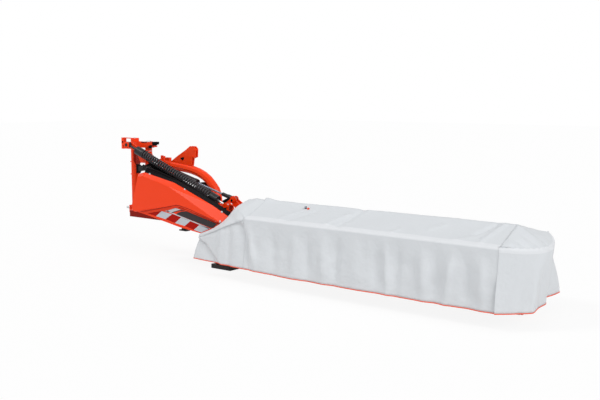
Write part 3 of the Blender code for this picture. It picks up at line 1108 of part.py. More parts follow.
def make_guard():
    """The guard: rails, ribs and posts, the tarpaulin over them, and the front half that folds up."""
    end = GUARD_LENGTH - 0.040
    uphill = Vector((0.0, RIDGE_Y - RAIL_Y, RIDGE_Z - RAIL_Z)).normalized()
    tubes = [rod((GUARD_INNER_END, RIDGE_Y, RIDGE_Z), (end, RIDGE_Y, RIDGE_Z), RIDGE_RADIUS, 12)]
    for k in range(4):
        x = 0.030 + (end - 0.060) * k / 3
        tubes.append(rod(Vector((x, RAIL_Y, RAIL_Z)) + uphill * 0.004,
                         Vector((x, RIDGE_Y, RIDGE_Z)) - uphill * 0.003, 0.010, 8))
    for k in (1, 3, 5):
        x = (DISC_X[k] + DISC_X[k + 1]) / 2
        foot_y = DISC_LINE_Y - 0.205
        tubes.append(box((x - 0.025, foot_y - 0.019, BAR_BOTTOM + 0.026),
                         (x + 0.025, BAR_Y0 - FIT, BAR_BOTTOM + 0.048)))
        foot = Vector((x, foot_y, BAR_BOTTOM + 0.040))
        head = Vector((x, RIDGE_Y, RIDGE_Z))
        tubes.append(rod(foot, head - (head - foot).normalized() * 0.003, 0.012, 8))
    rail = rod((0.004, RAIL_Y, RAIL_Z), (end, RAIL_Y, RAIL_Z), RAIL_RADIUS, 12)
    node("guard_frame", "cutterbar", PAINT, combined(rail, tubes))

    def rear(u, v):
        x = 0.0005 + (GUARD_LENGTH - 0.001) * u
        z = LIP_Z - 3 * FIT + (HEM_Z - LIP_Z) * v
        near_edge = min(1.0, 8 * u, 8 * (1 - u))
        return x, CLOTH_Y - HEM_FLARE * v ** 1.6 - fold(x, v * near_edge), z

    node("rear_curtain", "cutterbar", TARP, sheet(rear, 42, 4))

    crown = roof_height
    rear_line = wrap(RAIL_Y, -1, RIDGE_Y - 0.026, 2)

    def top(u, v):
        y, z = rear_line[round(v * 5)]
        return 0.0005 + (end - 0.001) * u, y, z

    node("top_sheet", "cutterbar", TARP, sheet(top, 8, 5))

    def outer(first, last, seam_low=0.0, seam_high=1.0):
        def surface(u, v):
            place = edge_plan(first + (last - first) * u)
            y_share = (place.y - 0.004) / (FRONT_EDGE_Y - 0.004)
            seam_y = CLOTH_Y + 0.012 + (FRONT_RAIL_Y - CLOTH_Y) * y_share
            seam_y = min(max(seam_y, seam_low), seam_high)
            seam = Vector((end + 0.001, seam_y, crown(seam_y)))
            rim = Vector((place.x, place.y, GUARD_REAR_Z - 0.010))
            if v <= 0.3:
                point = seam.lerp(rim, v / 0.3)
                return tuple(point)
            drop = (v - 0.3) / 0.7
            share = first + (last - first) * u
            run = edge_plan(min(1.0, share + 0.02)) - edge_plan(max(0.0, share - 0.02))
            away = Vector((run.y, -run.x)).normalized()
            flare = HEM_FLARE * drop ** 1.6 * (1 - 1.6 * sin(pi * share) ** 0.5)
            spread = flare + 0.009 * drop * sin(14 * pi * share)
            return place.x + away.x * spread, place.y + away.y * spread, rim.z + (HEM_Z - rim.z) * drop
        return surface

    middle = 0.49
    node("end_curtain_rear", "cutterbar", TARP,
         sheet(outer(0.0, middle - 0.004, seam_high=RIDGE_Y - 0.027), 12, 5))
    node("end_curtain_front", "front_guard", TARP,
         sheet(outer(middle + 0.004, 1.0, seam_low=RIDGE_Y + 0.009), 12, 5))

    def flap(u, v):
        x = -0.0006 - 0.558 * u
        top_z = LIP_Z + 0.010 - 0.214 * u
        z = top_z + (HEM_Z + 0.016 * u - top_z) * v
        lean = 0.045 * u * u
        swell = 0.010 * sin(3 * pi * u) * v
        return x - 0.060 * u * v, CLOTH_Y + lean - HEM_FLARE * v ** 1.6 * (1 - u) + swell, z

    node("inner_flap", "cutterbar", TARP, sheet(flap, 12, 4))

    high = [(-0.600, 0.082, 0.389), (-0.450, 0.096, 0.452), (-0.310, 0.104, 0.545),
            (-0.225, 0.150, 0.655), (-0.180, 0.282, crown(0.282))]
    low = [(-0.556, CLOTH_Y + 0.045, 0.372), (-0.370, CLOTH_Y + 0.020, 0.447),
           (-0.180, CLOTH_Y + 0.005, 0.521), (-0.0036, CLOTH_Y + 0.002, 0.592),
           (-0.0036, 0.282, crown(0.282))]
    high_route, low_route = smooth_route(high, 4), smooth_route(low, 4)

    def apron(u, v):
        i = round(u * 16)
        return tuple(low_route[i].lerp(high_route[i],
                                       v) + Vector((0.0, -0.012 * sin(pi * v) * (1 - u), 0.0)))

    node("apron", "cutterbar", TARP, sheet(apron, 16, 4))

    front_y = FRONT_RAIL_Y
    way = Vector((0.0, front_y - RIDGE_Y, RAIL_Z - RIDGE_Z)).normalized()
    bore = RIDGE_RADIUS + RUNNING
    rail = rod((GUARD_INNER_END, front_y, RAIL_Z), (end, front_y, RAIL_Z), RAIL_RADIUS, 12)
    tubes = []
    for k in range(4):
        x = GUARD_INNER_END + 0.030 + (end - GUARD_INNER_END - 0.150) * k / 3
        sleeve = pipe((x - 0.014, RIDGE_Y, RIDGE_Z), (x + 0.014, RIDGE_Y, RIDGE_Z), RAIL_RADIUS, bore,
                      12)
        rib = rod(Vector((x, RIDGE_Y, RIDGE_Z)) + way * (bore + 0.0015),
                  Vector((x, front_y, RAIL_Z)) - way * 0.004, 0.010, 8)
        tubes.append(combined(sleeve, [rib]))
    node("front_frame", "front_guard", PAINT, combined(rail, tubes))

    front_line = wrap(front_y, 1, RIDGE_Y + 0.008, 2)

    def front_top(u, v):
        y, z = front_line[round(v * 5)]
        return GUARD_INNER_END + 0.002 + (end - GUARD_INNER_END - 0.0022) * u, y, z

    node("front_top_sheet", "front_guard", TARP, sheet(front_top, 8, 5))

    def front(u, v):
        x = GUARD_INNER_END + 0.002 + (GUARD_LENGTH - 0.022 - GUARD_INNER_END) * u
        z = LIP_Z - 3 * FIT + (HEM_Z - LIP_Z) * v
        near_edge = min(1.0, 8 * u, 8 * (1 - u))
        return x, FRONT_EDGE_Y - CLOTH_Y + HEM_FLARE * v ** 1.6 + fold(x + 0.1, v * near_edge), z

    node("front_curtain", "front_guard", TARP, sheet(front, 32, 3))


def report_motion():
    """Print the joint ratios that keep both springs and the cylinder on their pins at the top limits."""
    for name, anchor, pin, centre, angle in (
            ("main_spring", SPRING_ANCHOR, SPRING_PIN, UPPER, ARM_LIFT_MAX),
            ("lift_cylinder", LIFT_ANCHOR, LIFT_PIN, UPPER, ARM_LIFT_MAX),
            ("float_spring", FLOAT_ANCHOR, FLOAT_PIN, LOWER, BAR_FOLD_MAX)):
        moved = swung(pin, centre, angle)
        before = Vector(pin) - Vector(anchor)
        after = Vector(moved) - Vector(anchor)
        turn = degrees(atan2(after.y, after.x) - atan2(before.y, before.x))
        slide = after.length - before.length
        way = before.normalized()
        print(f"{name}: swing ratio {turn / angle:.5f}, slide ratio {slide / radians(angle):.5f} m/rad, "
              f"slide {slide:.4f} m, axis ({way.x:.6f}, 0, {way.y:.6f})")


make_headstock()
make_swing_frame()
make_spring("main_spring", SPRING_ANCHOR, SPRING_PIN, SPRING_Y, SPRING_RADIUS, SPRING_WIRE,
            SPRING_CURLS,
            0.155, 0.150, "spring_head", "spring_tail")
make_spring("float_spring", FLOAT_ANCHOR, FLOAT_PIN, FLOAT_SPRING_Y, FLOAT_RADIUS, FLOAT_WIRE,
            FLOAT_CURLS,
            0.160, 0.530, "float_head", "float_tail")
make_cylinder()
make_housing()
make_belt_drive()
make_tensioner()
make_arm()
make_cutterbar()
make_discs()
make_guard()
report_motion()
bpy.data.collections.remove(scratch)
total = 0
for made in collection.objects:
    if made.type == "MESH":
        total += sum(len(face.vertices) - 2 for face in made.data.polygons)
print("pieces", sum(o.type == "MESH" for o in collection.objects), "triangles", total)
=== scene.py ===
"""Dress of a rear-mounted disc mower: painted frame, belt housing, springs, cutterbar and cloth cover.

Sizes are in metres. Places are written in the machine's own measure: x from the cover's inner end,
y from the cover's rear edge and z from the ground, and spot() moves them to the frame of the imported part.
"""
from __future__ import annotations

import json
import logging
from dataclasses import dataclass, field
from enum import Enum
from itertools import accumulate
from math import atan2, cos, exp, pi, radians, sin, tan
from typing import Iterable, Sequence

import bmesh
import bpy
from mathutils import Matrix, Vector, noise

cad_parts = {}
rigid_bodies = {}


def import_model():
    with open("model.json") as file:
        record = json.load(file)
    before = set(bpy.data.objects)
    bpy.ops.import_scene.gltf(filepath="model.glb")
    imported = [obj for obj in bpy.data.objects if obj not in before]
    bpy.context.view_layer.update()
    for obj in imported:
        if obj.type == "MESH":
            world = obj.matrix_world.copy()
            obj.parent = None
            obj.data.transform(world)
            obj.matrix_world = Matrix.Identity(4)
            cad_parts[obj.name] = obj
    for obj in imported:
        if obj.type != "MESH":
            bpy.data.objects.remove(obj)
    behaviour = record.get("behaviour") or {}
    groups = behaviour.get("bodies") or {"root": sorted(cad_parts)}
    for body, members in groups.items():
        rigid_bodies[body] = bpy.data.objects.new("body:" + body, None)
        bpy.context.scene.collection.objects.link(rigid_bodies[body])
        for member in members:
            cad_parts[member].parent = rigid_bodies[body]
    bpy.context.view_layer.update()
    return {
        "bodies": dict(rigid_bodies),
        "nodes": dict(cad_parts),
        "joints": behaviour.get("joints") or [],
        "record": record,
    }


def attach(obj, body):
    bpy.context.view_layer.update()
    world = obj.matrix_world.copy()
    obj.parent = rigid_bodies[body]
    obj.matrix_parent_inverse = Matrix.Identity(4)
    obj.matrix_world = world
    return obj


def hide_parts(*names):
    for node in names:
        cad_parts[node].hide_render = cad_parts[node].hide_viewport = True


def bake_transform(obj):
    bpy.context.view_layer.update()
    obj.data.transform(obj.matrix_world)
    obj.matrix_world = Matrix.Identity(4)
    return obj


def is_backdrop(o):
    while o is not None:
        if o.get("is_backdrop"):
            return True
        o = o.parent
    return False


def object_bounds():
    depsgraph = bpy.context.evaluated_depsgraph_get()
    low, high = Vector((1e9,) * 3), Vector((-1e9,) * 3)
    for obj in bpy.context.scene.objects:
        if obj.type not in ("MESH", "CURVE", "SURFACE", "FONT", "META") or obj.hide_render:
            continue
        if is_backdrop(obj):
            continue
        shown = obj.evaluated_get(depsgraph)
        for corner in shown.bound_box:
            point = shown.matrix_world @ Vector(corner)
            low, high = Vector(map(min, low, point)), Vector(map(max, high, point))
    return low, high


LOG = logging.getLogger("disc_mower")
ORIGIN = Vector((1.8, -0.62, -0.44))
UP, BACK, AHEAD = Vector((0.0, 0.0, 1.0)), Vector((0.0, -1.0, 0.0)), Vector((0.0, 1.0, 0.0))
DISC_COUNT, DISC_FIRST, DISC_SPACING, DISC_LINE_Y = 7, -0.35, 0.437, 0.475
CLOTH_THICKNESS, PIPE_RADIUS = 0.0016, 0.011
UNDERCOAT, DUST_COLOUR = (0.2, 0.19, 0.18), (0.42, 0.38, 0.31)
Colour = Place = tuple[float, float, float]
Flat = tuple[float, float]
Outline = tuple[Flat, ...]
Form = bmesh.types.BMesh
Node, Socket, Thing = bpy.types.Node, bpy.types.NodeSocket, bpy.types.Object


def spot(x: float, y: float, z: float) -> Vector:
    """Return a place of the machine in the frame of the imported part."""
    return Vector((x, y, z)) + ORIGIN


def ease(value: float) -> float:
    """Return a smooth step of a share between 0 and 1."""
    share = min(1.0, max(0.0, value))
    return share * share * (3.0 - 2.0 * share)


def bell(off: float, width: float) -> float:
    """Return 1 at the middle of a soft rise, falling away over its width."""
    return exp(-((off / width) ** 2))


def spread(first: float, last: float, steps: int) -> list[float]:
    """Return evenly spaced numbers from the first to the last."""
    return [first + (last - first) * k / steps for k in range(steps + 1)]


def read_off(knots: Sequence[Flat], place: float) -> float:
    """Return the value at a place on a line of rising knots.

    Args:
        knots: places and their values.
        place: where to read.

    Returns:
        The value, or the end's value beyond an end.
    """
    for (low, first), (high, last) in zip(knots, knots[1:]):
        if place <= high:
            return first + (last - first) * max(0.0, (place - low) / (high - low))
    return knots[-1][1]


def smooth(knots: Sequence[Sequence[float]], share: float) -> Vector:
    """Return the place at a share of a smooth line through knots.

    Args:
        knots: places in plan or in space.
        share: 0 at the first and 1 at the last.

    Returns:
        The place.
    """
    last = len(knots) - 1
    place = min(max(share, 0.0), 1.0) * last
    i = min(int(place), last - 1)
    t = place - i
    a, b, c, d = (Vector(knots[max(0, min(last, i + k))]) for k in (-1, 0, 1, 2))
    first, second, third = c - a, 2 * a - 5 * b + 4 * c - d, 3 * b - a - 3 * c + d
    return 0.5 * (2 * b + first * t + second * t * t + third * t ** 3)


class Desk:
    """A node tree with short calls that add nodes and feed their inputs."""

    def __init__(self, tree: bpy.types.NodeTree) -> None:
        """Keep the tree that the calls work on."""
        self.tree = tree

    def feed(self, target: Socket, value: object) -> None:
        """Join a socket to an input, or give the input a value of its own.

        Args:
            target: the input.
            value: the socket or the value.
        """
        if isinstance(value, bpy.types.NodeSocket):
            self.tree.links.new(value, target)
        else:
            target.default_value = value

    def add(self, kind: str, **values: object) -> Node:
        """Add a node.

        Args:
            kind: Blender's name of the node type.
            values: its properties, or what feeds its inputs, with _ for a space.

        Returns:
            The new node.
        """
        node = self.tree.nodes.new(kind)
        for key, value in values.items():
            if hasattr(node, key):
                setattr(node, key, value)
            else:
                self.feed(node.inputs[key.replace("_", " ")], value)
        return node

    def maths(self, kind: str, first: object, second: object = 0.5) -> Socket:
        """Return the result of a Math node on two sockets or numbers.

        Args:
            kind: the operation.
            first: the first socket or number.
            second: the second.

        Returns:
            The result's socket.
        """
        node = self.add("ShaderNodeMath", operation=kind)
        for target, value in zip(node.inputs, (first, second)):
            self.feed(target, value)
        return node.outputs[0]

    def mixed(self, share: Socket, first: object, second: object) -> Socket:
        """Return a mix of two colours or their sockets, where share shows the second.

        Args:
            share: the mix's socket.
            first: the first colour.
            second: the second colour.

        Returns:
            The mixed colour's socket.
        """
        node = self.add("ShaderNodeMix", data_type="RGBA", Factor=share)
        for target, value in ((node.inputs[6], first), (node.inputs[7], second)):
            self.feed(target, value if isinstance(value, bpy.types.NodeSocket) else (*value, 1.0))
        return node.outputs[2]


class Effect(Enum):
    """The effects that finishes share: each node group's name, output, and inputs with first values."""

    EDGE_WEAR = ("edge_wear", "Mask", {"Amount": 0.4, "Size": 40.0})
    DUST = ("dust_film", "Mask", {"Amount": 0.3, "Size": 6.0, "Reach": 0.5})
    DRIFT = ("colour_drift", "Mask", {"Amount": 0.3, "Size": 2.5})
    GRAIN = ("fine_grain", "Height", {"Size": 300.0})
    WEAVE = ("cloth_weave", "Height", {"Pitch": 0.0022})


@dataclass
class EffectShop:
    """Builds each shared node group once and places it in a material with its own values."""

    made: dict[Effect, bpy.types.NodeTree] = field(default_factory=dict)

    def place(self, desk: Desk, effect: Effect, **values: float) -> Socket:
        """Place an effect in a material.

        Args:
            desk: the material's node tree.
            effect: which effect.
            values: values of the group's inputs.

        Returns:
            The effect's socket.
        """
        if effect not in self.made:
            self.made[effect] = self.group(effect)
        return desk.add("ShaderNodeGroup", node_tree=self.made[effect], **values).outputs[0]

    def group(self, effect: Effect) -> bpy.types.NodeTree:
        """Build an effect's node group with the method of its name.

        Args:
            effect: which effect.

        Returns:
            The group.
        """
        name, result, inputs = effect.value
        tree = bpy.data.node_groups.new(name, "ShaderNodeTree")
        for key, value in inputs.items():
            socket = tree.interface.new_socket(name=key, in_out="INPUT", socket_type="NodeSocketFloat")
            socket.default_value = value
        tree.interface.new_socket(name=result, in_out="OUTPUT", socket_type="NodeSocketFloat")
        desk = Desk(tree)
        given, ending = desk.add("NodeGroupInput"), desk.add("NodeGroupOutput")
        desk.feed(ending.inputs[0], getattr(self, name)(desk, given.outputs))
        return tree

    @staticmethod
    def grains(desk: Desk, size: Socket, detail: float) -> Socket:
        """Return noise over the object's own measure, with its scale from a socket.

        Args:
            desk: the group's node tree.
            size: the noise's scale.
            detail: its octaves.

        Returns:
            The noise's socket.
        """
        place = desk.add("ShaderNodeTexCoord").outputs["Object"]
        made = desk.add("ShaderNodeTexNoise", Detail=detail, Roughness=0.55, Vector=place, Scale=size)
        return made.outputs[0]

    def edge_wear(self, desk: Desk, given: Sequence[Socket]) -> Socket:
        """Return a mask that is 1 where an edge has lost its paint.

        Args:
            desk: the group's node tree.
            given: the group's own inputs.

        Returns:
            The mask's socket.
        """
        shape = desk.add("ShaderNodeNewGeometry").outputs["Pointiness"]
        edge = desk.add("ShaderNodeMapRange", From_Min=0.53, From_Max=0.62, Value=shape)
        worn = desk.maths("MULTIPLY", edge.outputs[0], self.grains(desk, given["Size"], 5.0))
        level = desk.maths("SUBTRACT", 0.62, desk.maths("MULTIPLY", given["Amount"], 0.5))
        sharp = desk.maths("MULTIPLY", desk.maths("SUBTRACT", worn, level), 9.0)
        return desk.add("ShaderNodeClamp", Value=sharp).outputs[0]

    def dust_film(self, desk: Desk, given: Sequence[Socket]) -> Socket:
        """Return a mask that grows towards the ground, in uneven patches.

        Args:
            desk: the group's node tree.
            given: the group's own inputs.

        Returns:
            The mask's socket.
        """
        parts = desk.add("ShaderNodeSeparateXYZ", Vector=desk.add("ShaderNodeTexCoord").outputs["Object"])
        height = desk.maths("DIVIDE", desk.maths("ADD", parts.outputs["Z"], -ORIGIN.z), given["Reach"])
        low = desk.add("ShaderNodeClamp", Value=desk.maths("SUBTRACT", 1.0, height)).outputs[0]
        patches = self.grains(desk, given["Size"], 6.0)
        film = desk.maths("MULTIPLY", desk.maths("ADD", low, 0.25), patches)
        return desk.maths("MULTIPLY", film, given["Amount"])

    def colour_drift(self, desk: Desk, given: Sequence[Socket]) -> Socket:
        """Return a tone that wanders slowly over a surface."""
        return desk.maths("MULTIPLY", self.grains(desk, given["Size"], 3.0), given["Amount"])

    def fine_grain(self, desk: Desk, given: Sequence[Socket]) -> Socket:
        """Return the height of the skin of sprayed paint or of a casting."""
        return self.grains(desk, given["Size"], 2.0)

    def cloth_weave(self, desk: Desk, given: Sequence[Socket]) -> Socket:
        """Return the height of the backing weave that shows through coated cloth.

        Args:
            desk: the group's node tree.
            given: the group's own inputs.

        Returns:
            The height's socket.
        """
        parts = desk.add("ShaderNodeSeparateXYZ", Vector=desk.add("ShaderNodeUVMap").outputs["UV"])
        turns = [desk.maths("DIVIDE", desk.maths("MULTIPLY", parts.outputs[axis], 2.0 * pi), given["Pitch"])
                 for axis in ("X", "Y")]
        return desk.maths("MULTIPLY", *(desk.maths("SINE", turn, 0.0) for turn in turns))


SHOP = EffectShop()
MADE: dict[str, bpy.types.Material] = {}


@dataclass(frozen=True)
class Finish:
    """A finish of one material slot: its colour, gloss and small marks."""

    name: str
    slot: str
    colour: Colour
    roughness: float = 0.4
    metallic: float = 0.0
    coat: float = 0.0
    dusty: float = 0.25
    worn: float = 0.35
    drift: float = 0.25
    grain: float = 260.0
    relief: float = 0.0002
    shine: float = 0.28

    def material(self) -> bpy.types.Material:
        """Return the finish's material, made on first use.

        Returns:
            The material.
        """
        if self.name not in MADE:
            MADE[self.name] = self.build()
        return MADE[self.name]

    def marked(self, desk: Desk) -> tuple[Socket, Socket]:
        """Lay drift, dust and wear over the colour.

        Args:
            desk: the material's node tree.

        Returns:
            The colour's socket and the dust mask's socket.
        """
        drift = SHOP.place(desk, Effect.DRIFT, Amount=self.drift, Size=3.0)
        colour = desk.mixed(drift, self.colour, tuple(0.72 * part for part in self.colour))
        film = SHOP.place(desk, Effect.DUST, Amount=self.dusty, Size=7.0, Reach=0.6)
        colour = desk.mixed(film, colour, DUST_COLOUR)
        if self.worn > 0.0:
            bare = SHOP.place(desk, Effect.EDGE_WEAR, Amount=self.worn, Size=55.0)
            colour = desk.mixed(bare, colour, UNDERCOAT)
        return colour, film

    def skin(self, desk: Desk, shader: Node) -> Socket:
        """Return the relief's height: the fine grain of paint, rubber or a casting."""
        return SHOP.place(desk, Effect.GRAIN, Size=self.grain)

    def build(self) -> bpy.types.Material:
        """Return the finished material.

        Returns:
            The material.
        """
        made = bpy.data.materials.new(self.name)
        made.use_nodes = True
        made.diffuse_color = (*self.colour, 1.0)
        desk = Desk(made.node_tree)
        shader = made.node_tree.nodes["Principled BSDF"]
        even = {"Metallic": self.metallic, "Coat Weight": self.coat, "Coat Roughness": 0.18,
                "Specular IOR Level": self.shine}
        for key, value in even.items():
            shader.inputs[key].default_value = value
        colour, film = self.marked(desk)
        bump = desk.add("ShaderNodeBump", Strength=0.35, Distance=self.relief, Height=self.skin(desk, shader))
        dull = desk.maths("ADD", desk.maths("MULTIPLY", film, 0.5), self.roughness)
        for key, value in {"Base Color": colour, "Normal": bump.outputs["Normal"], "Roughness": dull}.items():
            desk.feed(shader.inputs[key], value)
        return made


@dataclass(frozen=True)
class BrushedSteel(Finish):
    """Bare or plated steel with fine drawn lines."""

    metallic: float = 1.0
    lines: float = 420.0

    def skin(self, desk: Desk, shader: Node) -> Socket:
        """Return the lines' height: noise drawn out along x.

        Args:
            desk: the material's node tree.
            shader: not used.

        Returns:
            The height's socket.
        """
        place = desk.add("ShaderNodeTexCoord").outputs["Object"]
        drawn = desk.add("ShaderNodeMapping", Scale=(0.04, 1.0, 1.0), Vector=place).outputs[0]
        return desk.add("ShaderNodeTexNoise", Scale=self.lines, Detail=3.0, Vector=drawn).outputs[0]


@dataclass(frozen=True)
class CoatedCloth(Finish):
    """Coated tarpaulin: soft gloss, a weave just showing, dust at its foot."""

    pitch: float = 0.0024

    def skin(self, desk: Desk, shader: Node) -> Socket:
        """Give the cloth its sheen and return the height of weave and creases.

        Args:
            desk: the material's node tree.
            shader: its shader.

        Returns:
            The height's socket.
        """
        shader.inputs["Sheen Weight"].default_value = 0.12
        shader.inputs["Sheen Roughness"].default_value = 0.4
        weave = SHOP.place(desk, Effect.WEAVE, Pitch=self.pitch)
        creases = SHOP.place(desk, Effect.GRAIN, Size=14.0)
        return desk.maths("ADD", desk.maths("MULTIPLY", weave, 0.12), desk.maths("MULTIPLY", creases, 9.0))


ORANGE = Finish("orange_red_gloss_paint", "orange_red_paint", (0.905, 0.048, 0.002), 0.38, coat=0.03,
                dusty=0.015, worn=0.1, drift=0.2, shine=0.2)
# Painted shade: a dark copy of the orange-red paint for its shaded sides, undersides, seams and recesses.
PAINTED_SHADE_ORANGE = Finish("painted_shade_orange_red", "orange_red_paint", (0.27, 0.009, 0.002), 0.45, dusty=0.01,
                      worn=0.06, drift=0.3, shine=0.08)
NEAR_BLACK = Finish("near_black_satin_paint", "dark_paint", (0.014, 0.012, 0.013), 0.5, dusty=0.06, worn=0.2,
                    shine=0.2)
# Painted shade: matt near-black for dark holes, gaps and the shade behind and between parts.
PAINTED_SHADE_BLACK = Finish("painted_shade_black", "dark_paint", (0.006, 0.005, 0.006), 0.75, dusty=0.01, worn=0.0,
                     shine=0.05)
SPRING_BLACK = Finish("black_coated_spring", "black_spring_steel", (0.03, 0.028, 0.032), 0.4, dusty=0.02,
                      worn=0.04, shine=0.3)
SPRING_DARK = Finish("black_spring_cap", "black_spring_steel", (0.011, 0.011, 0.013), 0.4, dusty=0.02,
                     worn=0.06, shine=0.22)
ZINC = BrushedSteel("bright_zinc_plate", "zinc_plate", (0.56, 0.57, 0.58), 0.38, dusty=0.06, worn=0.1,
                    relief=0.0001)
CHROME = BrushedSteel("hard_chrome_rod", "chrome_rod", (0.62, 0.66, 0.72), 0.16, dusty=0.04, worn=0.0,
                      relief=0.00003)
BARE_STEEL = BrushedSteel("ground_worn_steel", "worn_steel", (0.36, 0.35, 0.34), 0.42, dusty=0.2, worn=0.2)
CASTING = Finish("rough_grey_casting", "cast_iron", (0.17, 0.165, 0.16), 0.62, 0.6, dusty=0.25, worn=0.4,
                 grain=420.0, relief=0.0005)
RUBBER = Finish("matt_black_rubber", "black_rubber", (0.014, 0.014, 0.015), 0.66, dusty=0.08, worn=0.0,
                grain=500.0, shine=0.2)
CLOTH = CoatedCloth("pale_grey_tarpaulin", "pale_tarpaulin", (0.655, 0.68, 0.706), 0.56, dusty=0.06,
                    worn=0.0, drift=0.1, relief=0.0016, shine=0.22)
# Painted highlight: a lighter copy of the tarpaulin for the rounded edges where the cover catches the light.
CLOTH_EDGE_HIGHLIGHT = CoatedCloth("painted_highlight_tarpaulin_edge", "pale_tarpaulin", (0.712, 0.73, 0.756), 0.56, dusty=0.04,
                         worn=0.0, drift=0.06, relief=0.001, shine=0.22)
PIPING = Finish("orange_red_hem_piping", "orange_red_paint", (0.84, 0.1, 0.045), 0.5, dusty=0.06, worn=0.0)
STRIPE_RED = Finish("dark_red_stripe", "striped_board", (0.39, 0.006, 0.002), 0.42, dusty=0.01, worn=0.0,
                    drift=0.12, shine=0.06)
STRIPE_PALE = Finish("pale_grey_stripe", "striped_board", (0.5, 0.545, 0.59), 0.36, dusty=0.03, worn=0.0,
                     drift=0.12)
BAND_DARK = Finish("dark_grey_band", "striped_board", (0.018, 0.013, 0.016), 0.4, dusty=0.03, worn=0.0,
                   drift=0.12)
DULL_ROD = BrushedSteel("dull_blue_steel_rod", "worn_steel", (0.17, 0.19, 0.23), 0.4, dusty=0.04, worn=0.1)
BAND_SILVER = Finish("silver_band", "striped_board", (0.56, 0.58, 0.61), 0.36, dusty=0.02, worn=0.0,
                     drift=0.12)


@dataclass(frozen=True)
class Zone:
    """A box of the machine whose faces on a node take a finish of their own."""

    low: Place
    high: Place
    finish: Finish

    def holds(self, place: Vector) -> bool:
        """Return whether a face's middle lies in the box."""
        return all(low <= part <= high for low, part, high in zip(self.low, place - ORIGIN, self.high))


@dataclass(frozen=True)
class Part:
    """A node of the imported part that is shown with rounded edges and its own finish."""

    node: str
    finish: Finish
    edge: float = 0.002
    angle: float = 30.0
    zones: tuple[Zone, ...] = ()


@dataclass(frozen=True)
class Plate:
    """A flat piece: its finish, rear and forward face, rounded edge, and outline in x and z."""

    name: str
    finish: Finish
    rear: float
    front: float
    edge: float
    outline: Outline


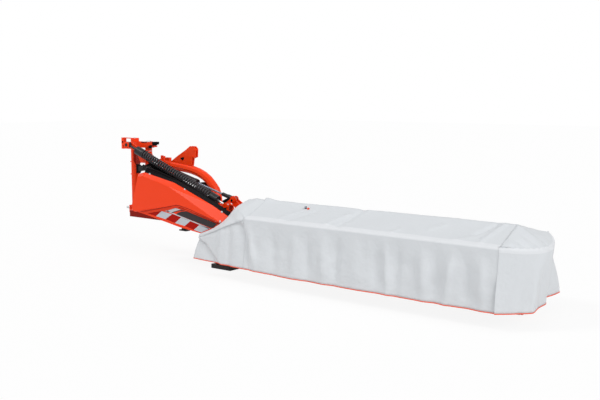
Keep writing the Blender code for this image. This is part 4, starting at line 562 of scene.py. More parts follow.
class Bench:
    """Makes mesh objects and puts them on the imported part's bodies."""

    def __init__(self, frame: dict) -> None:
        """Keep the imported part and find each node's body.
        """
        self.nodes: dict[str, Thing] = frame["nodes"]
        bodies = frame["record"]["behaviour"]["bodies"]
        self.owner = {node: body for body, nodes in bodies.items() for node in nodes}
        self.count = 0

    @staticmethod
    def settled(name: str, form: Form, angle: float = 34.0) -> Thing:
        """Turn a form into an object with smooth shading between sharp edges.

        Args:
            name: the object's name.
            form: the form, which is freed.
            angle: edges bent further than this many degrees stay sharp.

        Returns:
            The object.
        """
        bmesh.ops.recalc_face_normals(form, faces=form.faces)
        mesh = bpy.data.meshes.new(name)
        form.to_mesh(mesh)
        form.free()
        for face in mesh.polygons:
            face.use_smooth = True
        mesh.set_sharp_from_angle(angle=radians(angle))
        made = bpy.data.objects.new(name, mesh)
        bpy.context.scene.collection.objects.link(made)
        return made

    @staticmethod
    def rounded(form: Form, edge: float, angle: float = 30.0, steps: int = 2) -> Form:
        """Round the sharp edges of a form.

        Args:
            form: the form.
            edge: the rounding's width.
            angle: edges bent further than this many degrees are rounded.
            steps: faces across each rounding.

        Returns:
            The same form.
        """
        bmesh.ops.remove_doubles(form, verts=form.verts, dist=0.00004)
        bmesh.ops.dissolve_limit(form, angle_limit=radians(0.6), verts=form.verts, edges=form.edges)
        form.normal_update()
        sharp = [e for e in form.edges if len(e.link_faces) == 2 and e.calc_face_angle(0.0) > radians(angle)]
        if sharp:
            bmesh.ops.bevel(form, geom=sharp, offset=edge, offset_type="OFFSET", segments=steps, profile=0.6,
                            affect="EDGES", clamp_overlap=True, loop_slide=True)
        return form

    def show(self, made: Thing, finish: Finish, nodes: Sequence[str]) -> None:
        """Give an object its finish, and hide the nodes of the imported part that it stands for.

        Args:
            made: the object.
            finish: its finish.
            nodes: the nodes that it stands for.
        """
        if not made.data.materials:
            made.data.materials.append(finish.material())
        if nodes:
            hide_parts(*nodes)
        self.count += 1

    def put(self, made: Thing, finish: Finish, body: str, *nodes: str) -> Thing:
        """Give an object its finish and body.

        Args:
            made: the object.
            finish: its finish.
            body: the body that it rides on.
            nodes: the nodes that it stands for.

        Returns:
            The object.
        """
        self.show(made, finish, nodes)
        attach(made, body)
        LOG.info("%s rides on %s with %s", made.name, body, finish.name)
        return made

    def add(self, name: str, form: Form, finish: Finish, body: str, *nodes: str,
            angle: float = 34.0) -> Thing:
        """Turn a form into an object and put it on a body, with the arguments of settled() and put()."""
        return self.put(self.settled(name, form, angle), finish, body, *nodes)

    def stretch(self, made: Thing, finish: Finish, ends: tuple[str, str], low: Vector, high: Vector,
                *nodes: str) -> None:
        """Give an object its finish, hide the nodes that it stands for, and bake its place into its mesh.

        Args:
            made: the object.
            finish: its finish.
            ends: the bodies named in the log as its two ends.
            low: not used.
            high: not used.
            nodes: the nodes that it stands for.
        """
        self.show(made, finish, nodes)
        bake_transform(made)
        LOG.info("%s stretches from %s to %s with %s", made.name, *ends, finish.name)

    def dress(self, part: Part) -> None:
        """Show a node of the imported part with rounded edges, large flat faces and its finish.

        Args:
            part: the node with its finish and rounding.
        """
        form = bmesh.new()
        form.from_mesh(self.nodes[part.node].data)
        made = self.settled(part.node + "_finished", self.rounded(form, part.edge, part.angle))
        made.modifiers.new("level_normals", "WEIGHTED_NORMAL").keep_sharp = True
        for finish in (part.finish, *(zone.finish for zone in part.zones)):
            made.data.materials.append(finish.material())
        for face in made.data.polygons:
            for index, zone in enumerate(part.zones, 1):
                if zone.holds(face.center):
                    face.material_index = index
        self.put(made, part.finish, self.owner[part.node], part.node)

    @staticmethod
    def skinned(form: Form, rings: Sequence[Sequence[bmesh.types.BMVert]]) -> Form:
        """Join rings of points by faces and close both ends.

        Args:
            form: the form that the points are in.
            rings: rings of points, where a ring of one point is a tip.

        Returns:
            The same form.
        """
        for low, high in zip(rings, rings[1:]):
            for k in range(max(len(low), len(high))):
                below, above = ([ring[i % len(ring)] for i in (k, k + 1)] for ring in (low, high))
                form.faces.new(list(dict.fromkeys(below + above[::-1])))
        for ring in (rings[0], rings[-1]):
            if len(ring) > 1:
                form.faces.new(ring)
        return form

    def solid(self, form: Form, rings: Sequence[Sequence[bmesh.types.BMVert]]) -> Form:
        """Skin rings of points and turn every face outwards, so that the edges can be rounded.

        Args:
            form: the form that the points are in.
            rings: rings of points.

        Returns:
            The same form.
        """
        self.skinned(form, rings)
        bmesh.ops.recalc_face_normals(form, faces=form.faces)
        return form

    def lathe(self, profile: Sequence[Flat], foot: Vector, way: Vector, steps: int = 40) -> Form:
        """Turn a profile round an axis.

        Args:
            profile: radius and height of each point, from one end of the axis to the other.
            foot: the axis's start.
            way: the axis's direction.
            steps: faces round the axis.

        Returns:
            The turned form.
        """
        turn = way.to_track_quat("Z", "Y").to_matrix().to_4x4()
        form = bmesh.new()
        angles = [2 * pi * k / steps for k in range(steps)]
        rings = [[form.verts.new(foot + turn @ Vector((radius * cos(a), radius * sin(a), height)))
                  for a in (angles if radius > 0.0 else angles[:1])] for radius, height in profile]
        return self.skinned(form, rings)

    def sweep(self, points: Sequence[Vector], radius: float, sides: int = 14) -> Form:
        """Draw a round bar along a path.

        Args:
            points: the path.
            radius: the bar's radius.
            sides: faces round it.

        Returns:
            The bar with flat ends.
        """
        form = bmesh.new()
        side = (points[1] - points[0]).normalized().orthogonal().normalized()
        rings = []
        for index, point in enumerate(points):
            ahead = (points[min(index + 1, len(points) - 1)] - points[max(index - 1, 0)]).normalized()
            side = (side - ahead * side.dot(ahead)).normalized()
            across, turns = ahead.cross(side), [2 * pi * k / sides for k in range(sides)]
            rings.append([form.verts.new(point + (side * cos(a) + across * sin(a)) * radius) for a in turns])
        return self.skinned(form, rings)

    def slab(self, outline: Sequence[Flat], rear: float, front: float) -> Form:
        """Stand an outline of the x-z plane up between its rear and its forward face."""
        form = bmesh.new()
        return self.solid(form, [[form.verts.new(spot(x, y, z)) for x, z in outline] for y in (rear, front)])

    def discs(self, place: Vector, way: Vector, radius: float, thick: float = 0.0012) -> Form:
        """Make a thin round plug that sits in the mouth of a hole and carries its painted shade."""
        return self.lathe([(radius, 0.0), (radius, thick), (radius * 0.8, thick + 0.0004)], place, way, 20)

    @staticmethod
    def merge(forms: Iterable[Form]) -> Form:
        """Put several forms into one and free them.

        Args:
            forms: the forms.

        Returns:
            The whole.
        """
        whole = bmesh.new()
        for form in forms:
            carrier = bpy.data.meshes.new("carrier")
            form.to_mesh(carrier)
            form.free()
            whole.from_mesh(carrier)
            bpy.data.meshes.remove(carrier)
        return whole

    def bolt(self, head: Vector, way: Vector, radius: float = 0.01, height: float = 0.007) -> Form:
        """Make a hexagon head on its washer.

        Args:
            head: the middle of the washer's underside.
            way: where the head points.
            radius: the head's corner radius.
            height: the head's height.

        Returns:
            The bolt head and its washer.
        """
        washer = [(radius * 1.35, 0.0), (radius * 1.35, 0.0015), (radius * 1.25, 0.002)]
        hexagon = [(radius, 0.0016), (radius, height), (radius * 0.82, height + 0.0012)]
        return self.merge([self.lathe(washer, head, way, 24),
                           self.rounded(self.lathe(hexagon, head, way, 6), 0.0006, 25.0, 1)])

    @staticmethod
    def cloth(name: str, rows: Sequence[Sequence[Vector]], band: range = range(0)) -> Thing:
        """Make a sheet from rows of points, with its flat measure as its UV map.

        Args:
            name: the object's name.
            rows: rows of points, all of one length.
            band: the rows whose faces have the painted highlight of a rounded edge.

        Returns:
            The sheet.
        """
        across = len(rows[0])
        faces = [(r * across + c, r * across + c + 1, (r + 1) * across + c + 1, (r + 1) * across + c)
                 for r in range(len(rows) - 1) for c in range(across - 1)]
        mesh = bpy.data.meshes.new(name)
        mesh.from_pydata([tuple(point) for row in rows for point in row], [], faces)
        lines = ([row[across // 2] for row in rows], rows[len(rows) // 2])
        downs, alongs = (list(accumulate(((b - a).length for a, b in zip(line, line[1:])), initial=0.0))
                         for line in lines)
        layer = mesh.uv_layers.new(name="UVMap")
        for finish in (CLOTH, CLOTH_EDGE_HIGHLIGHT) if band else (CLOTH,):
            mesh.materials.append(finish.material())
        for face in mesh.polygons:
            face.use_smooth = True
            face.material_index = int(face.index // (across - 1) in band)
            for loop in face.loop_indices:
                row, column = divmod(mesh.loops[loop].vertex_index, across)
                layer.data[loop].uv = (alongs[column], downs[row])
        made = bpy.data.objects.new(name, mesh)
        bpy.context.scene.collection.objects.link(made)
        skin = made.modifiers.new("cloth_thickness", "SOLIDIFY")
        skin.thickness = CLOTH_THICKNESS
        skin.offset = 0.0
        return made


@dataclass
class Assembly:
    """A sub-assembly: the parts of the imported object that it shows, and flat pieces of its own."""

    body: str = ""
    parts: tuple[Part, ...] = ()
    plates: tuple[Plate, ...] = ()

    def build(self, bench: Bench) -> None:
        """Dress the parts, stand the plates up and add the details.

        Args:
            bench: the maker of meshes.
        """
        for part in self.parts:
            bench.dress(part)
        for plate in self.plates:
            form = bench.slab(plate.outline, plate.rear, plate.front)
            if plate.edge:
                bench.rounded(form, plate.edge)
            bench.add(plate.name, form, plate.finish, self.body)
        self.detail(bench)

    def detail(self, bench: Bench) -> None:
        """Add nothing, where the parts and plates are all there is."""


@dataclass
class Headstock(Assembly):
    """The frame on the tractor's linkage: beams, column, pins and parking stand."""

    body: str = "headstock"
    parts: tuple[Part, ...] = (
        Part("headstock_frame", ORANGE, 0.003, 30.0, (
            # Painted shade: the lower beam's underside in dark orange-red, the upper beam's end in black.
            Zone((-1.93, 0.3, 0.3), (-1.5, 0.49, 0.44), PAINTED_SHADE_ORANGE),
            Zone((-1.722, 0.3, 1.12), (-1.5, 0.6, 1.2), PAINTED_SHADE_BLACK))),
        Part("stand_sleeve", ORANGE, 0.0015), Part("hitch_pin_left", ZINC, 0.0012),
        Part("hitch_pin_right", ZINC, 0.0012), Part("top_link_pin", ZINC, 0.0012),
        Part("breakaway_pin", ZINC, 0.0015), Part("stand_leg", NEAR_BLACK, 0.002))
    plates: tuple[Plate, ...] = (
        Plate("lug_tie_bar", ORANGE, 0.487, 0.512, 0.0015, (
            (-2.15, 1.206), (-2.012, 1.207), (-2.012, 1.2148), (-2.15, 1.2148))),
        Plate("lock_link", ZINC, 0.446, 0.452, 0.0008, (
            (-2.051, 1.179), (-2.025, 1.177), (-1.996, 1.158), (-2.003, 1.152), (-2.033, 1.165),
            (-2.051, 1.159), (-2.06, 1.135), (-2.075, 1.134), (-2.069, 1.158))),
        # Painted shade: a black plate over the upper beam's end.
        Plate("beam_end_shade", PAINTED_SHADE_BLACK, 0.462, 0.528, 0.002, (
            (-1.71, 1.183), (-1.63, 1.1845), (-1.636, 1.156), (-1.7, 1.152))),
        Plate("beam_cap_strip", ZINC, 0.458, 0.476, 0.0006, (
            (-1.834, 1.1802), (-1.7, 1.1802), (-1.7, 1.1842), (-1.834, 1.1842))),
        # Painted shade: a dark orange-red web in the shade beside the column.
        Plate("column_web_shade", PAINTED_SHADE_ORANGE, 0.47, 0.476, 0.0, (
            (-1.935, 1.06), (-1.902, 1.045), (-1.846, 0.997), (-1.869, 0.979), (-1.864, 0.959),
            (-1.883, 0.942), (-1.935, 0.94))))
    pivot: Flat = (-1.765, 0.5)
    column: Flat = (-1.978, 0.5)
    column_radius: float = 0.044
    lug_face: float = 0.485
    beam_face: float = 0.456
    # Painted shade: a black web standing in the shade below the column's web.
    web_shade: Outline = (
        (-1.935, 0.944), (-1.883, 0.945), (-1.866, 0.932), (-1.815, 0.924), (-1.815, 0.882), (-1.864, 0.867),
        (-1.873, 0.848), (-1.935, 0.845))
    # Outlines of recesses whose shade is painted black, and the mouth of the lug's hole, painted the same.
    recesses: tuple[Outline, ...] = (
        ((-1.827, 1.179), (-1.742, 1.179), (-1.742, 1.173), (-1.828, 1.171)),
        ((-1.736, 1.13), (-1.69, 1.15), (-1.668, 1.153), (-1.668, 1.118), (-1.7, 1.118)),
        ((-2.122, 1.139), (-2.1485, 1.134), (-2.1485, 1.118), (-2.116, 1.116)))
    shade_foot: Outline = (
        (-14.0, 0.978), (0.0, 0.955), (24.0, 0.925), (53.0, 0.885), (82.0, 0.849), (120.0, 0.845))
    shade_top: float = 1.091
    shade_off: Flat = (0.0016, -0.003)
    shade_way: Flat = (0.612, 0.791)
    mouth: Flat = (-2.155, 1.167)
    bolt_z: float = 1.214

    def shade(self) -> Form:
        """Return the painted shade on the column's inner side, with its lower edge cut on a curve.

        Returns:
            The patch.
        """
        form = bmesh.new()
        rings = []
        for angle in spread(self.shade_foot[0][0], self.shade_foot[-1][0], 27):
            a, low = radians(angle), read_off(self.shade_foot, angle)
            (ahead, back), (out, inside), top = self.shade_way, self.shade_off, self.shade_top
            way = Vector((ahead * cos(a) + back * sin(a), ahead * sin(a) - back * cos(a), 0.0))
            corners = ((out, low), (out, top), (inside, top), (inside, low))
            rings.append([form.verts.new(spot(*self.column, height) + way * (self.column_radius + off))
                          for off, height in corners])
        return Bench.skinned(form, rings)

    def detail(self, bench: Bench) -> None:
        """Add the small parts of the head and its painted shade.

        Args:
            bench: the maker of meshes.
        """
        foot, beam, lug = spot(*self.pivot, 0.0), self.beam_face, self.lug_face
        sleeve = [(0.0215, 1.059), (0.035, 1.059), (0.036, 1.0605), (0.036, 1.1165), (0.035, 1.118),
                  (0.0215, 1.118)]
        bench.add("pivot_sleeve", bench.lathe(sleeve, foot, UP, 36), ORANGE, self.body)
        ring = [(0.0355, 1.082), (0.0385, 1.083), (0.0385, 1.089), (0.0355, 1.09)]
        bench.add("pivot_ring", bench.lathe(ring, foot, UP, 36), ZINC, self.body)
        # Painted shade: black in the recesses, the lug's hole and the web, dark orange-red on the column's
        # side.
        painted_shades = [bench.slab(outline, face - lift, face + 0.001) for outline, face, lift in
                 zip(self.recesses, (beam, beam, lug), (0.0008, 0.0012, 0.0006))]
        painted_shades += [bench.discs(spot(self.mouth[0], lug - 0.0008, self.mouth[1]), BACK, 0.0105),
                  bench.slab(self.web_shade, 0.472, 0.478)]
        bench.add("head_recess_shade", bench.merge(painted_shades), PAINTED_SHADE_BLACK, self.body)
        bench.add("column_shade", self.shade(), PAINTED_SHADE_ORANGE, self.body)
        bolt = bench.bolt(spot(*self.column, self.bolt_z), UP, 0.012, 0.006)
        bench.add("head_bolt", bolt, ZINC, self.body)


@dataclass
class SwingFrame(Assembly):
    """The frame on the upright pin, with the spring's lever and both anchor pins."""

    parts: tuple[Part, ...] = (
        Part("swing_frame", ORANGE, 0.0025, 30.0, (
            # Painted shade: the lugs of the lift cylinder's anchor take near-black for the shade they stand
            # in.
            Zone((-1.79, 0.3, 0.86), (-1.6, 0.43, 0.99), NEAR_BLACK),)),
        Part("spring_lever", ORANGE, 0.0015), Part("spring_anchor_pin", SPRING_DARK, 0.001),
        Part("lift_anchor_pin", NEAR_BLACK, 0.001), Part("input_bearing", BARE_STEEL, 0.0008),
        Part("input_shaft", BARE_STEEL, 0.0008))


@dataclass
class SuspensionSpring(Assembly):
    """A coil spring between two ends: eye and cap above, cap, rod and eye below."""

    prefix: str = "main_spring"
    anchor: Flat = (-1.935, 1.15)
    pin: Flat = (-0.545, 0.617)
    y: float = 0.375
    radius: float = 0.0338
    wire: float = 0.009
    curls: int = 36
    head_length: float = 0.155
    tail_reach: float = 0.15
    ends: tuple[str, str] = ("spring_head", "spring_tail")
    upper_cap: float = 0.11
    lower_cap: float = 0.085
    cap_overlap: float = 0.012
    rod_finish: Finish = ZINC
    boot: float = 0.0
    per_curl: int = 16

    def coil(self, low: Vector, length: float, way: Vector) -> list[Vector]:
        """Return the wire's path.

        Args:
            low: the coil's first end, on the axis.
            length: the coil's length.
            way: the axis's direction.

        Returns:
            The path's points, wound closer at both ends.
        """
        turn = way.to_track_quat("Z", "Y").to_matrix()
        tail = 1.1 * self.wire
        points = []
        for share in spread(0.0, 1.0, self.curls * self.per_curl):
            close = 0.5 * (ease(share * 14.0) + 1.0 - ease((1.0 - share) * 14.0))
            angle = 2 * pi * self.curls * share
            height = tail + (length - 2 * tail) * (0.985 * share + 0.015 * close)
            points.append(low + turn @ Vector((self.radius * cos(angle), self.radius * sin(angle), height)))
        return points

    def detail(self, bench: Bench) -> None:
        """Wind the coil, dress both ends and add the caps.

        Args:
            bench: the maker of meshes.
        """
        start, end = (spot(x, self.y, z) for x, z in (self.anchor, self.pin))
        way = (end - start).normalized()
        low, high = start + way * self.head_length, end - way * self.tail_reach
        wire = bench.sweep(self.coil(low, (high - low).length, way), self.wire, 8)
        made = bench.settled(self.prefix + "_wound", wire, 60.0)
        bench.stretch(made, SPRING_BLACK, self.ends, low, high, self.prefix + "_coil")
        bench.dress(Part(self.prefix + "_head", SPRING_DARK, 0.0012))
        foot = high - ORIGIN
        corners = (tuple(foot - Vector((0.08, 0.1, 0.1))), tuple(foot + Vector((0.03, 0.1, 0.1))))
        plug = Zone(*corners, SPRING_DARK)
        bench.dress(Part(self.prefix + "_tail", self.rod_finish, 0.0012, 30.0, (plug,)))
        if self.boot > 0.0:
            length = self.boot - 0.03
            boot = [(0.0105, 0.0), (0.016, 0.001), (0.019, 0.006), (0.019, length * 0.55),
                    (0.023, length * 0.6), (0.023, length), (0.0105, length + 0.001)]
            form = bench.lathe(boot, end - way * self.boot, way, 28)
            bench.add(self.prefix + "_boot", form, SPRING_DARK, self.ends[1])
        wide, lap = self.radius + self.wire, way * self.cap_overlap
        caps = (("_upper_cap", low - lap, self.upper_cap, self.ends[0]),
                ("_lower_cap", high + lap - way * self.lower_cap, self.lower_cap, self.ends[1]))
        for name, foot, length, body in caps:
            cap = [(wide - 0.004, 0.0), (wide - 0.001, 0.0), (wide + 0.0015, 0.003),
                   (wide + 0.0015, length - 0.003), (wide - 0.001, length), (0.014, length + 0.002),
                   (0.014, length - 0.002)]
            bench.add(self.prefix + name, bench.lathe(cap, foot, way, 32), SPRING_DARK, body)


@dataclass
class LiftCylinder(Assembly):
    """The hydraulic cylinder that lifts the arm."""

    anchor: Flat = (-1.69, 0.925)
    pin: Flat = (-0.64, 0.552)
    y: float = 0.375
    radius: float = 0.033
    rod: float = 0.016
    share: float = 0.6
    eye: Outline = ((0.026, 0.0), (0.026, 0.0392))
    neck: Outline = ((0.018, 0.012), (0.018, 0.04))
    port: Outline = ((0.011, -0.004), (0.011, 0.012), (0.009, 0.013))
    port_reach: Flat = (0.075, 0.022)

    def detail(self, bench: Bench) -> None:
        """Turn the barrel with its gland and ports, and the rod with its eye.

        Args:
            bench: the maker of meshes.
        """
        start, end = (spot(x, self.y, z) for x, z in (self.anchor, self.pin))
        way, length = (end - start).normalized(), (end - start).length
        tube, r, rod = length * self.share, self.radius, self.rod
        outside = [(0.0, 0.036), (r - 0.003, 0.036), (r, 0.039), (r, tube - 0.045),
                   (r + 0.0012, tube - 0.043), (r + 0.0012, tube - 0.002), (r - 0.002, tube),
                   (r - 0.006, tube + 0.012), (rod + 0.002, tube + 0.013), (rod + 0.001, tube - 0.02)]
        half = self.eye[1][1] / 2
        eyes = [bench.rounded(bench.lathe(self.eye, place + BACK * half, AHEAD, 32), 0.0015)
                for place in (start, end)]
        up = way.cross(AHEAD).normalized()
        ports = [bench.lathe(self.port, start + way * reach + up * (r - 0.003), up, 20)
                 for reach in (self.port_reach[0], tube - self.port_reach[1])]
        neck = bench.lathe(self.neck, start, way, 24)
        form = bench.merge([bench.lathe(outside, start, way, 36), eyes[0], neck, *ports])
        bench.add("lift_barrel_turned", form, NEAR_BLACK, "lift_barrel", "lift_barrel")
        shaft = bench.lathe([(0.0, tube - 0.05), (rod, tube - 0.05), (rod, length)], start, way, 32)
        bench.add("lift_rod_turned", bench.merge([shaft, eyes[1]]), CHROME, "lift_rod", "lift_rod")


@dataclass
class BeltHousing(Assembly):
    """The belt's pressed housing, its striped board with bands, and its fasteners."""

    body: str = "arm"
    parts: tuple[Part, ...] = (
        Part("belt_housing", ORANGE, 0.004, 12.0, (
            # Painted shade: the housing's faces behind the chamfer's edge, and the backplate, are matt black
            # for the shade behind the edge.
            Zone((-9.0, 0.1815, -9.0), (9.0, 9.0, 9.0), PAINTED_SHADE_BLACK),)),
        Part("backplate", PAINTED_SHADE_BLACK, 0.001), Part("stripe_board", ORANGE, 0.001))
    board_y: float = 0.138
    face_y: float = 0.1196
    film: float = 0.0008
    pipe_y: float = 0.266
    pipe_step: Flat = (0.012, 0.016)
    bolts: tuple[Place, ...] = (
        (-0.395, 0.1196, 0.512), (-1.4, 0.178, 0.886), (-0.91, 0.178, 0.766), (-0.428, 0.178, 0.59))
    rim: Outline = ((-1.56, 0.895), (-1.412, 0.873), (-1.18, 0.811), (-0.968, 0.74), (-0.788, 0.679))
    tops: Outline = (
        (-1.377, 0.503), (-1.194, 0.538), (-1.05, 0.52), (-0.924, 0.502), (-0.8, 0.476), (-0.679, 0.451),
        (-0.54, 0.432))
    bottoms: Outline = (
        (-1.4, 0.5), (-1.278, 0.481), (-1.142, 0.463), (-1.009, 0.438), (-0.879, 0.421), (-0.756, 0.396),
        (-0.66, 0.38))
    line: Outline = ((-1.126, 0.552), (-0.552, 0.434), (-0.56, 0.425), (-1.12, 0.541))
    band: Outline = (
        (-0.991, 0.527), (-0.965, 0.542), (-0.918, 0.557), (-0.853, 0.565), (-0.452, 0.482), (-0.505, 0.44),
        (-0.535, 0.437), (-0.982, 0.524))
    lead: Outline = (
        (-1.16, 0.541), (-1.11, 0.55), (-1.003, 0.584), (-0.928, 0.576), (-0.99, 0.559), (-1.05, 0.54),
        (-1.111, 0.54))
    streak: Outline = (
        (-1.062, 0.5375), (-0.99, 0.557), (-0.918, 0.573), (-0.876, 0.572), (-0.984, 0.553), (-1.044, 0.5345))
    # Lines of painted shadow: the step along the panel's seam, and a fold.
    seam: Outline = (
        (-1.484, 0.512), (-1.442, 0.514), (-1.164, 0.575), (-0.976, 0.616), (-0.937, 0.616), (-0.821, 0.598),
        (-0.389, 0.492))
    fold: Outline = ((-0.957, 0.594), (-0.84, 0.579), (-0.418, 0.48))

    def detail(self, bench: Bench) -> None:
        """Lay the bands and stripes on the board, and add the painted shadow lines of the seam and fold, the
        bolts and the pipes.

        Args:
            bench: the maker of meshes.
        """
        stripes = [(self.bottoms[k], self.tops[k], self.tops[k + 1], self.bottoms[k + 1]) for k in range(6)]
        board = self.board_y
        films = (("red_stripes", stripes[0::2], STRIPE_RED), ("pale_stripes", stripes[1::2], STRIPE_PALE),
                 ("silver_line", [self.line], BAND_SILVER), ("silver_lead", [self.lead], BAND_SILVER),
                 ("dark_band", [self.band, self.streak], BAND_DARK))
        for name, outlines, finish in films:
            forms = [bench.slab(outline, board - self.film, board + 0.0004) for outline in outlines]
            bench.add(name, bench.merge(forms), finish, self.body)
        # Painted shadow: dark orange-red lines along the panel's seam and along a fold.
        lines = [bench.sweep([spot(x, y, z) for x, z in line], radius, 6) for line, y, radius in
                 ((self.seam, self.face_y, 0.0028), (self.fold, board - 0.0004, 0.0018))]
        bench.add("housing_seam_shade", bench.merge(lines), PAINTED_SHADE_ORANGE, self.body)
        heads = [bench.bolt(spot(*place), BACK, 0.0085, 0.005) for place in self.bolts]
        bench.add("housing_bolts", bench.merge(heads), ZINC, self.body)
        # Hoses along the housing's edge, in the painted-shade black, which also stand in for the shade behind
        # the edge.
        side, rise = self.pipe_step
        routes = [[spot(x, self.pipe_y + side * k, z + rise * k) for x, z in self.rim] for k in range(3)]
        pipes = [bench.sweep(route, PIPE_RADIUS, 10) for route in routes]
        bench.add("edge_pipes", bench.merge(pipes), PAINTED_SHADE_BLACK, self.body)


@dataclass
class BeltDrive(Assembly):
    """Pulleys, belt, tensioner and pinion shaft inside the housing."""

    parts: tuple[Part, ...] = (
        Part("upper_pulley", CASTING, 0.001), Part("lower_pulley", CASTING, 0.001),
        Part("idler_pulley", CASTING, 0.001), Part("tension_arm", NEAR_BLACK, 0.001),
        Part("pinion_shaft", BARE_STEEL, 0.0008), Part("drive_belt", RUBBER, 0.001))


@dataclass
class Arm(Assembly):
    """The arch tube with its plates, the beam behind the housing, the bracket and the tower."""

    body: str = "arm"
    parts: tuple[Part, ...] = (
        Part("arm_beam", ORANGE, 0.003), Part("arch_arm", ORANGE, 0.002, 34.0),
        Part("arch_bracket", ORANGE, 0.0015), Part("hinge_tower", ORANGE, 0.0015))
    plates: tuple[Plate, ...] = (
        # Painted shade: a near-black plate in the shade behind the arch.
        Plate("arch_shade_plate", NEAR_BLACK, 0.655, 0.665, 0.001, (
            (-1.205, 0.772), (-1.143, 0.784), (-1.08, 0.79), (-1.03, 0.766), (-0.93, 0.69), (-0.93, 0.64),
            (-1.1, 0.66), (-1.26, 0.72))),
        Plate("tower_cheek", ORANGE, 0.3385, 0.344, 0.001, (
            (-0.64, 0.56), (-0.6, 0.6), (-0.52, 0.612), (-0.48, 0.65), (-0.43, 0.64), (-0.42, 0.59),
            (-0.43, 0.52), (-0.5, 0.47), (-0.64, 0.48))),
        # Painted shade: a dark orange-red patch on the tower and black in the bracket's window.
        Plate("tower_shade", PAINTED_SHADE_ORANGE, 0.3374, 0.3384, 0.0, (
            (-0.485, 0.626), (-0.472, 0.636), (-0.432, 0.632), (-0.44, 0.599), (-0.486, 0.586))),
        Plate("bracket_window_shade", PAINTED_SHADE_BLACK, 0.5852, 0.587, 0.0, (
            (-1.386, 1.02), (-1.352, 1.036), (-1.326, 1.03), (-1.334, 1.014), (-1.352, 1.002))))
    pipe_route: Outline = (
        (-1.7, 0.957), (-1.684, 0.947), (-1.613, 0.9), (-1.491, 0.862), (-1.3, 0.8), (-1.08, 0.715))
    # Painted shade: a dark block and a slot on the tower's cheek.
    block_shade: Outline = ((-0.607, 0.581), (-0.569, 0.602), (-0.5, 0.61), (-0.517, 0.598), (-0.567, 0.566))
    slot: Outline = ((-0.534, 0.55), (-0.448, 0.592), (-0.44, 0.587), (-0.525, 0.545))
    pipe_y: float = 0.44
    pipe_step: Flat = (0.003, 0.021)

    def detail(self, bench: Bench) -> None:
        """Add the pipes along the arm and the painted shade in the tower's recesses.

        Args:
            bench: the maker of meshes.
        """
        ahead, rise = self.pipe_step
        # Hoses along the arm in the painted-shade black, which also fill the shade between the spring and the
        # housing.
        routes = [[spot(x + ahead * k, self.pipe_y, z + rise * k) for x, z in self.pipe_route]
                  for k in (-1, 0, 1, 2)]
        pipes = [bench.sweep(route, PIPE_RADIUS, 10) for route in routes]
        bench.add("arm_pipes", bench.merge(pipes), PAINTED_SHADE_BLACK, self.body)
        painted_shades = [bench.slab(self.block_shade, 0.337, 0.3384), bench.slab(self.slot, 0.3372, 0.3384)]
        bench.add("tower_recess_shade", bench.merge(painted_shades), PAINTED_SHADE_BLACK, self.body)


@dataclass
class Cutterbar(Assembly):
    """The bar's case, gearbox, shoes, shaft and lever."""

    body: str = "cutterbar"
    parts: tuple[Part, ...] = (
        Part("bar_pan", ORANGE, 0.002), Part("bar_lid", ORANGE, 0.0015), Part("gearbox", ORANGE, 0.0025),
        Part("skid_rail", BARE_STEEL, 0.002), Part("inner_shoe", NEAR_BLACK, 0.002),
        Part("bar_lever", ORANGE, 0.0015), Part("bar_shaft", BARE_STEEL, 0.0006))
    plates: tuple[Plate, ...] = (
        Plate("lever_web", ORANGE, 0.454, 0.462, 0.0012, (
            (-0.565, 0.691), (-0.535, 0.709), (-0.515, 0.695), (-0.491, 0.668), (-0.508, 0.657),
            (-0.551, 0.641), (-0.641, 0.609), (-0.656, 0.619), (-0.585, 0.668))),)
    lid: float = 0.1144
    bolt_off: Flat = (0.07, 0.098)
    boss: Place = (-0.556, 0.4532, 0.66)
    gap: Outline = (
        (-0.69, 0.647), (-0.645, 0.668), (-0.575, 0.684), (-0.58, 0.655), (-0.655, 0.612), (-0.675, 0.618))

    def detail(self, bench: Bench) -> None:
        """Bolt the lid down between the discs and add the painted shade in the lever's recesses.

        Args:
            bench: the maker of meshes.
        """
        middles = [DISC_FIRST + (k + 0.5) * DISC_SPACING for k in range(DISC_COUNT - 1)]
        along, side = self.bolt_off
        heads = [bench.bolt(spot(middle + along * i, DISC_LINE_Y + side * j, self.lid), UP, 0.009)
                 for middle in middles for i in (-1, 1) for j in (-1, 1)]
        bench.add("lid_bolts", bench.merge(heads), ZINC, self.body)
        # Painted shade: black in the gap by the lever and in the boss's hole.
        painted_shades = [bench.slab(self.gap, 0.464, 0.467), bench.discs(spot(*self.boss), BACK, 0.0125)]
        bench.add("lever_recess_shade", bench.merge(painted_shades), PAINTED_SHADE_BLACK, self.body)


@dataclass
class Discs(Assembly):
    """Seven oval discs, each with two knives and their bolts."""

    z: float = 0.1374
    seat: Flat = (0.175, 0.0055)
    blade: Flat = (-0.0088, -0.0036)
    half_knife: Outline = ((0.154, 0.016), (0.17, 0.0225), (0.254, 0.0225), (0.258, 0.018))

    def detail(self, bench: Bench) -> None:
        """Dress every disc and set its knives, a quarter turn on from its neighbour's.

        Args:
            bench: the maker of meshes.
        """
        outline = [(x, -y) for x, y in self.half_knife] + list(self.half_knife[::-1])
        for k in range(DISC_COUNT):
            body = f"disc_{k + 1}"
            bench.dress(Part(body, NEAR_BLACK, 0.0012))
            plates = []
            for half in (0.0, pi):
                place = (Matrix.Translation(spot(DISC_FIRST + k * DISC_SPACING, DISC_LINE_Y, self.z))
                         @ Matrix.Rotation(pi / 2 * (k % 2) + half, 4, "Z"))
                blade = bmesh.new()
                bench.solid(blade, [[blade.verts.new(place @ Vector((x, y, height))) for x, y in outline]
                                    for height in self.blade])
                plates += [bench.rounded(blade, 0.0008, 30.0, 1),
                           bench.bolt(place @ Vector((self.seat[0], 0.0, self.seat[1])), UP, 0.011, 0.008)]
            bench.add(f"knives_{k + 1}", bench.merge(plates), BARE_STEEL, body)


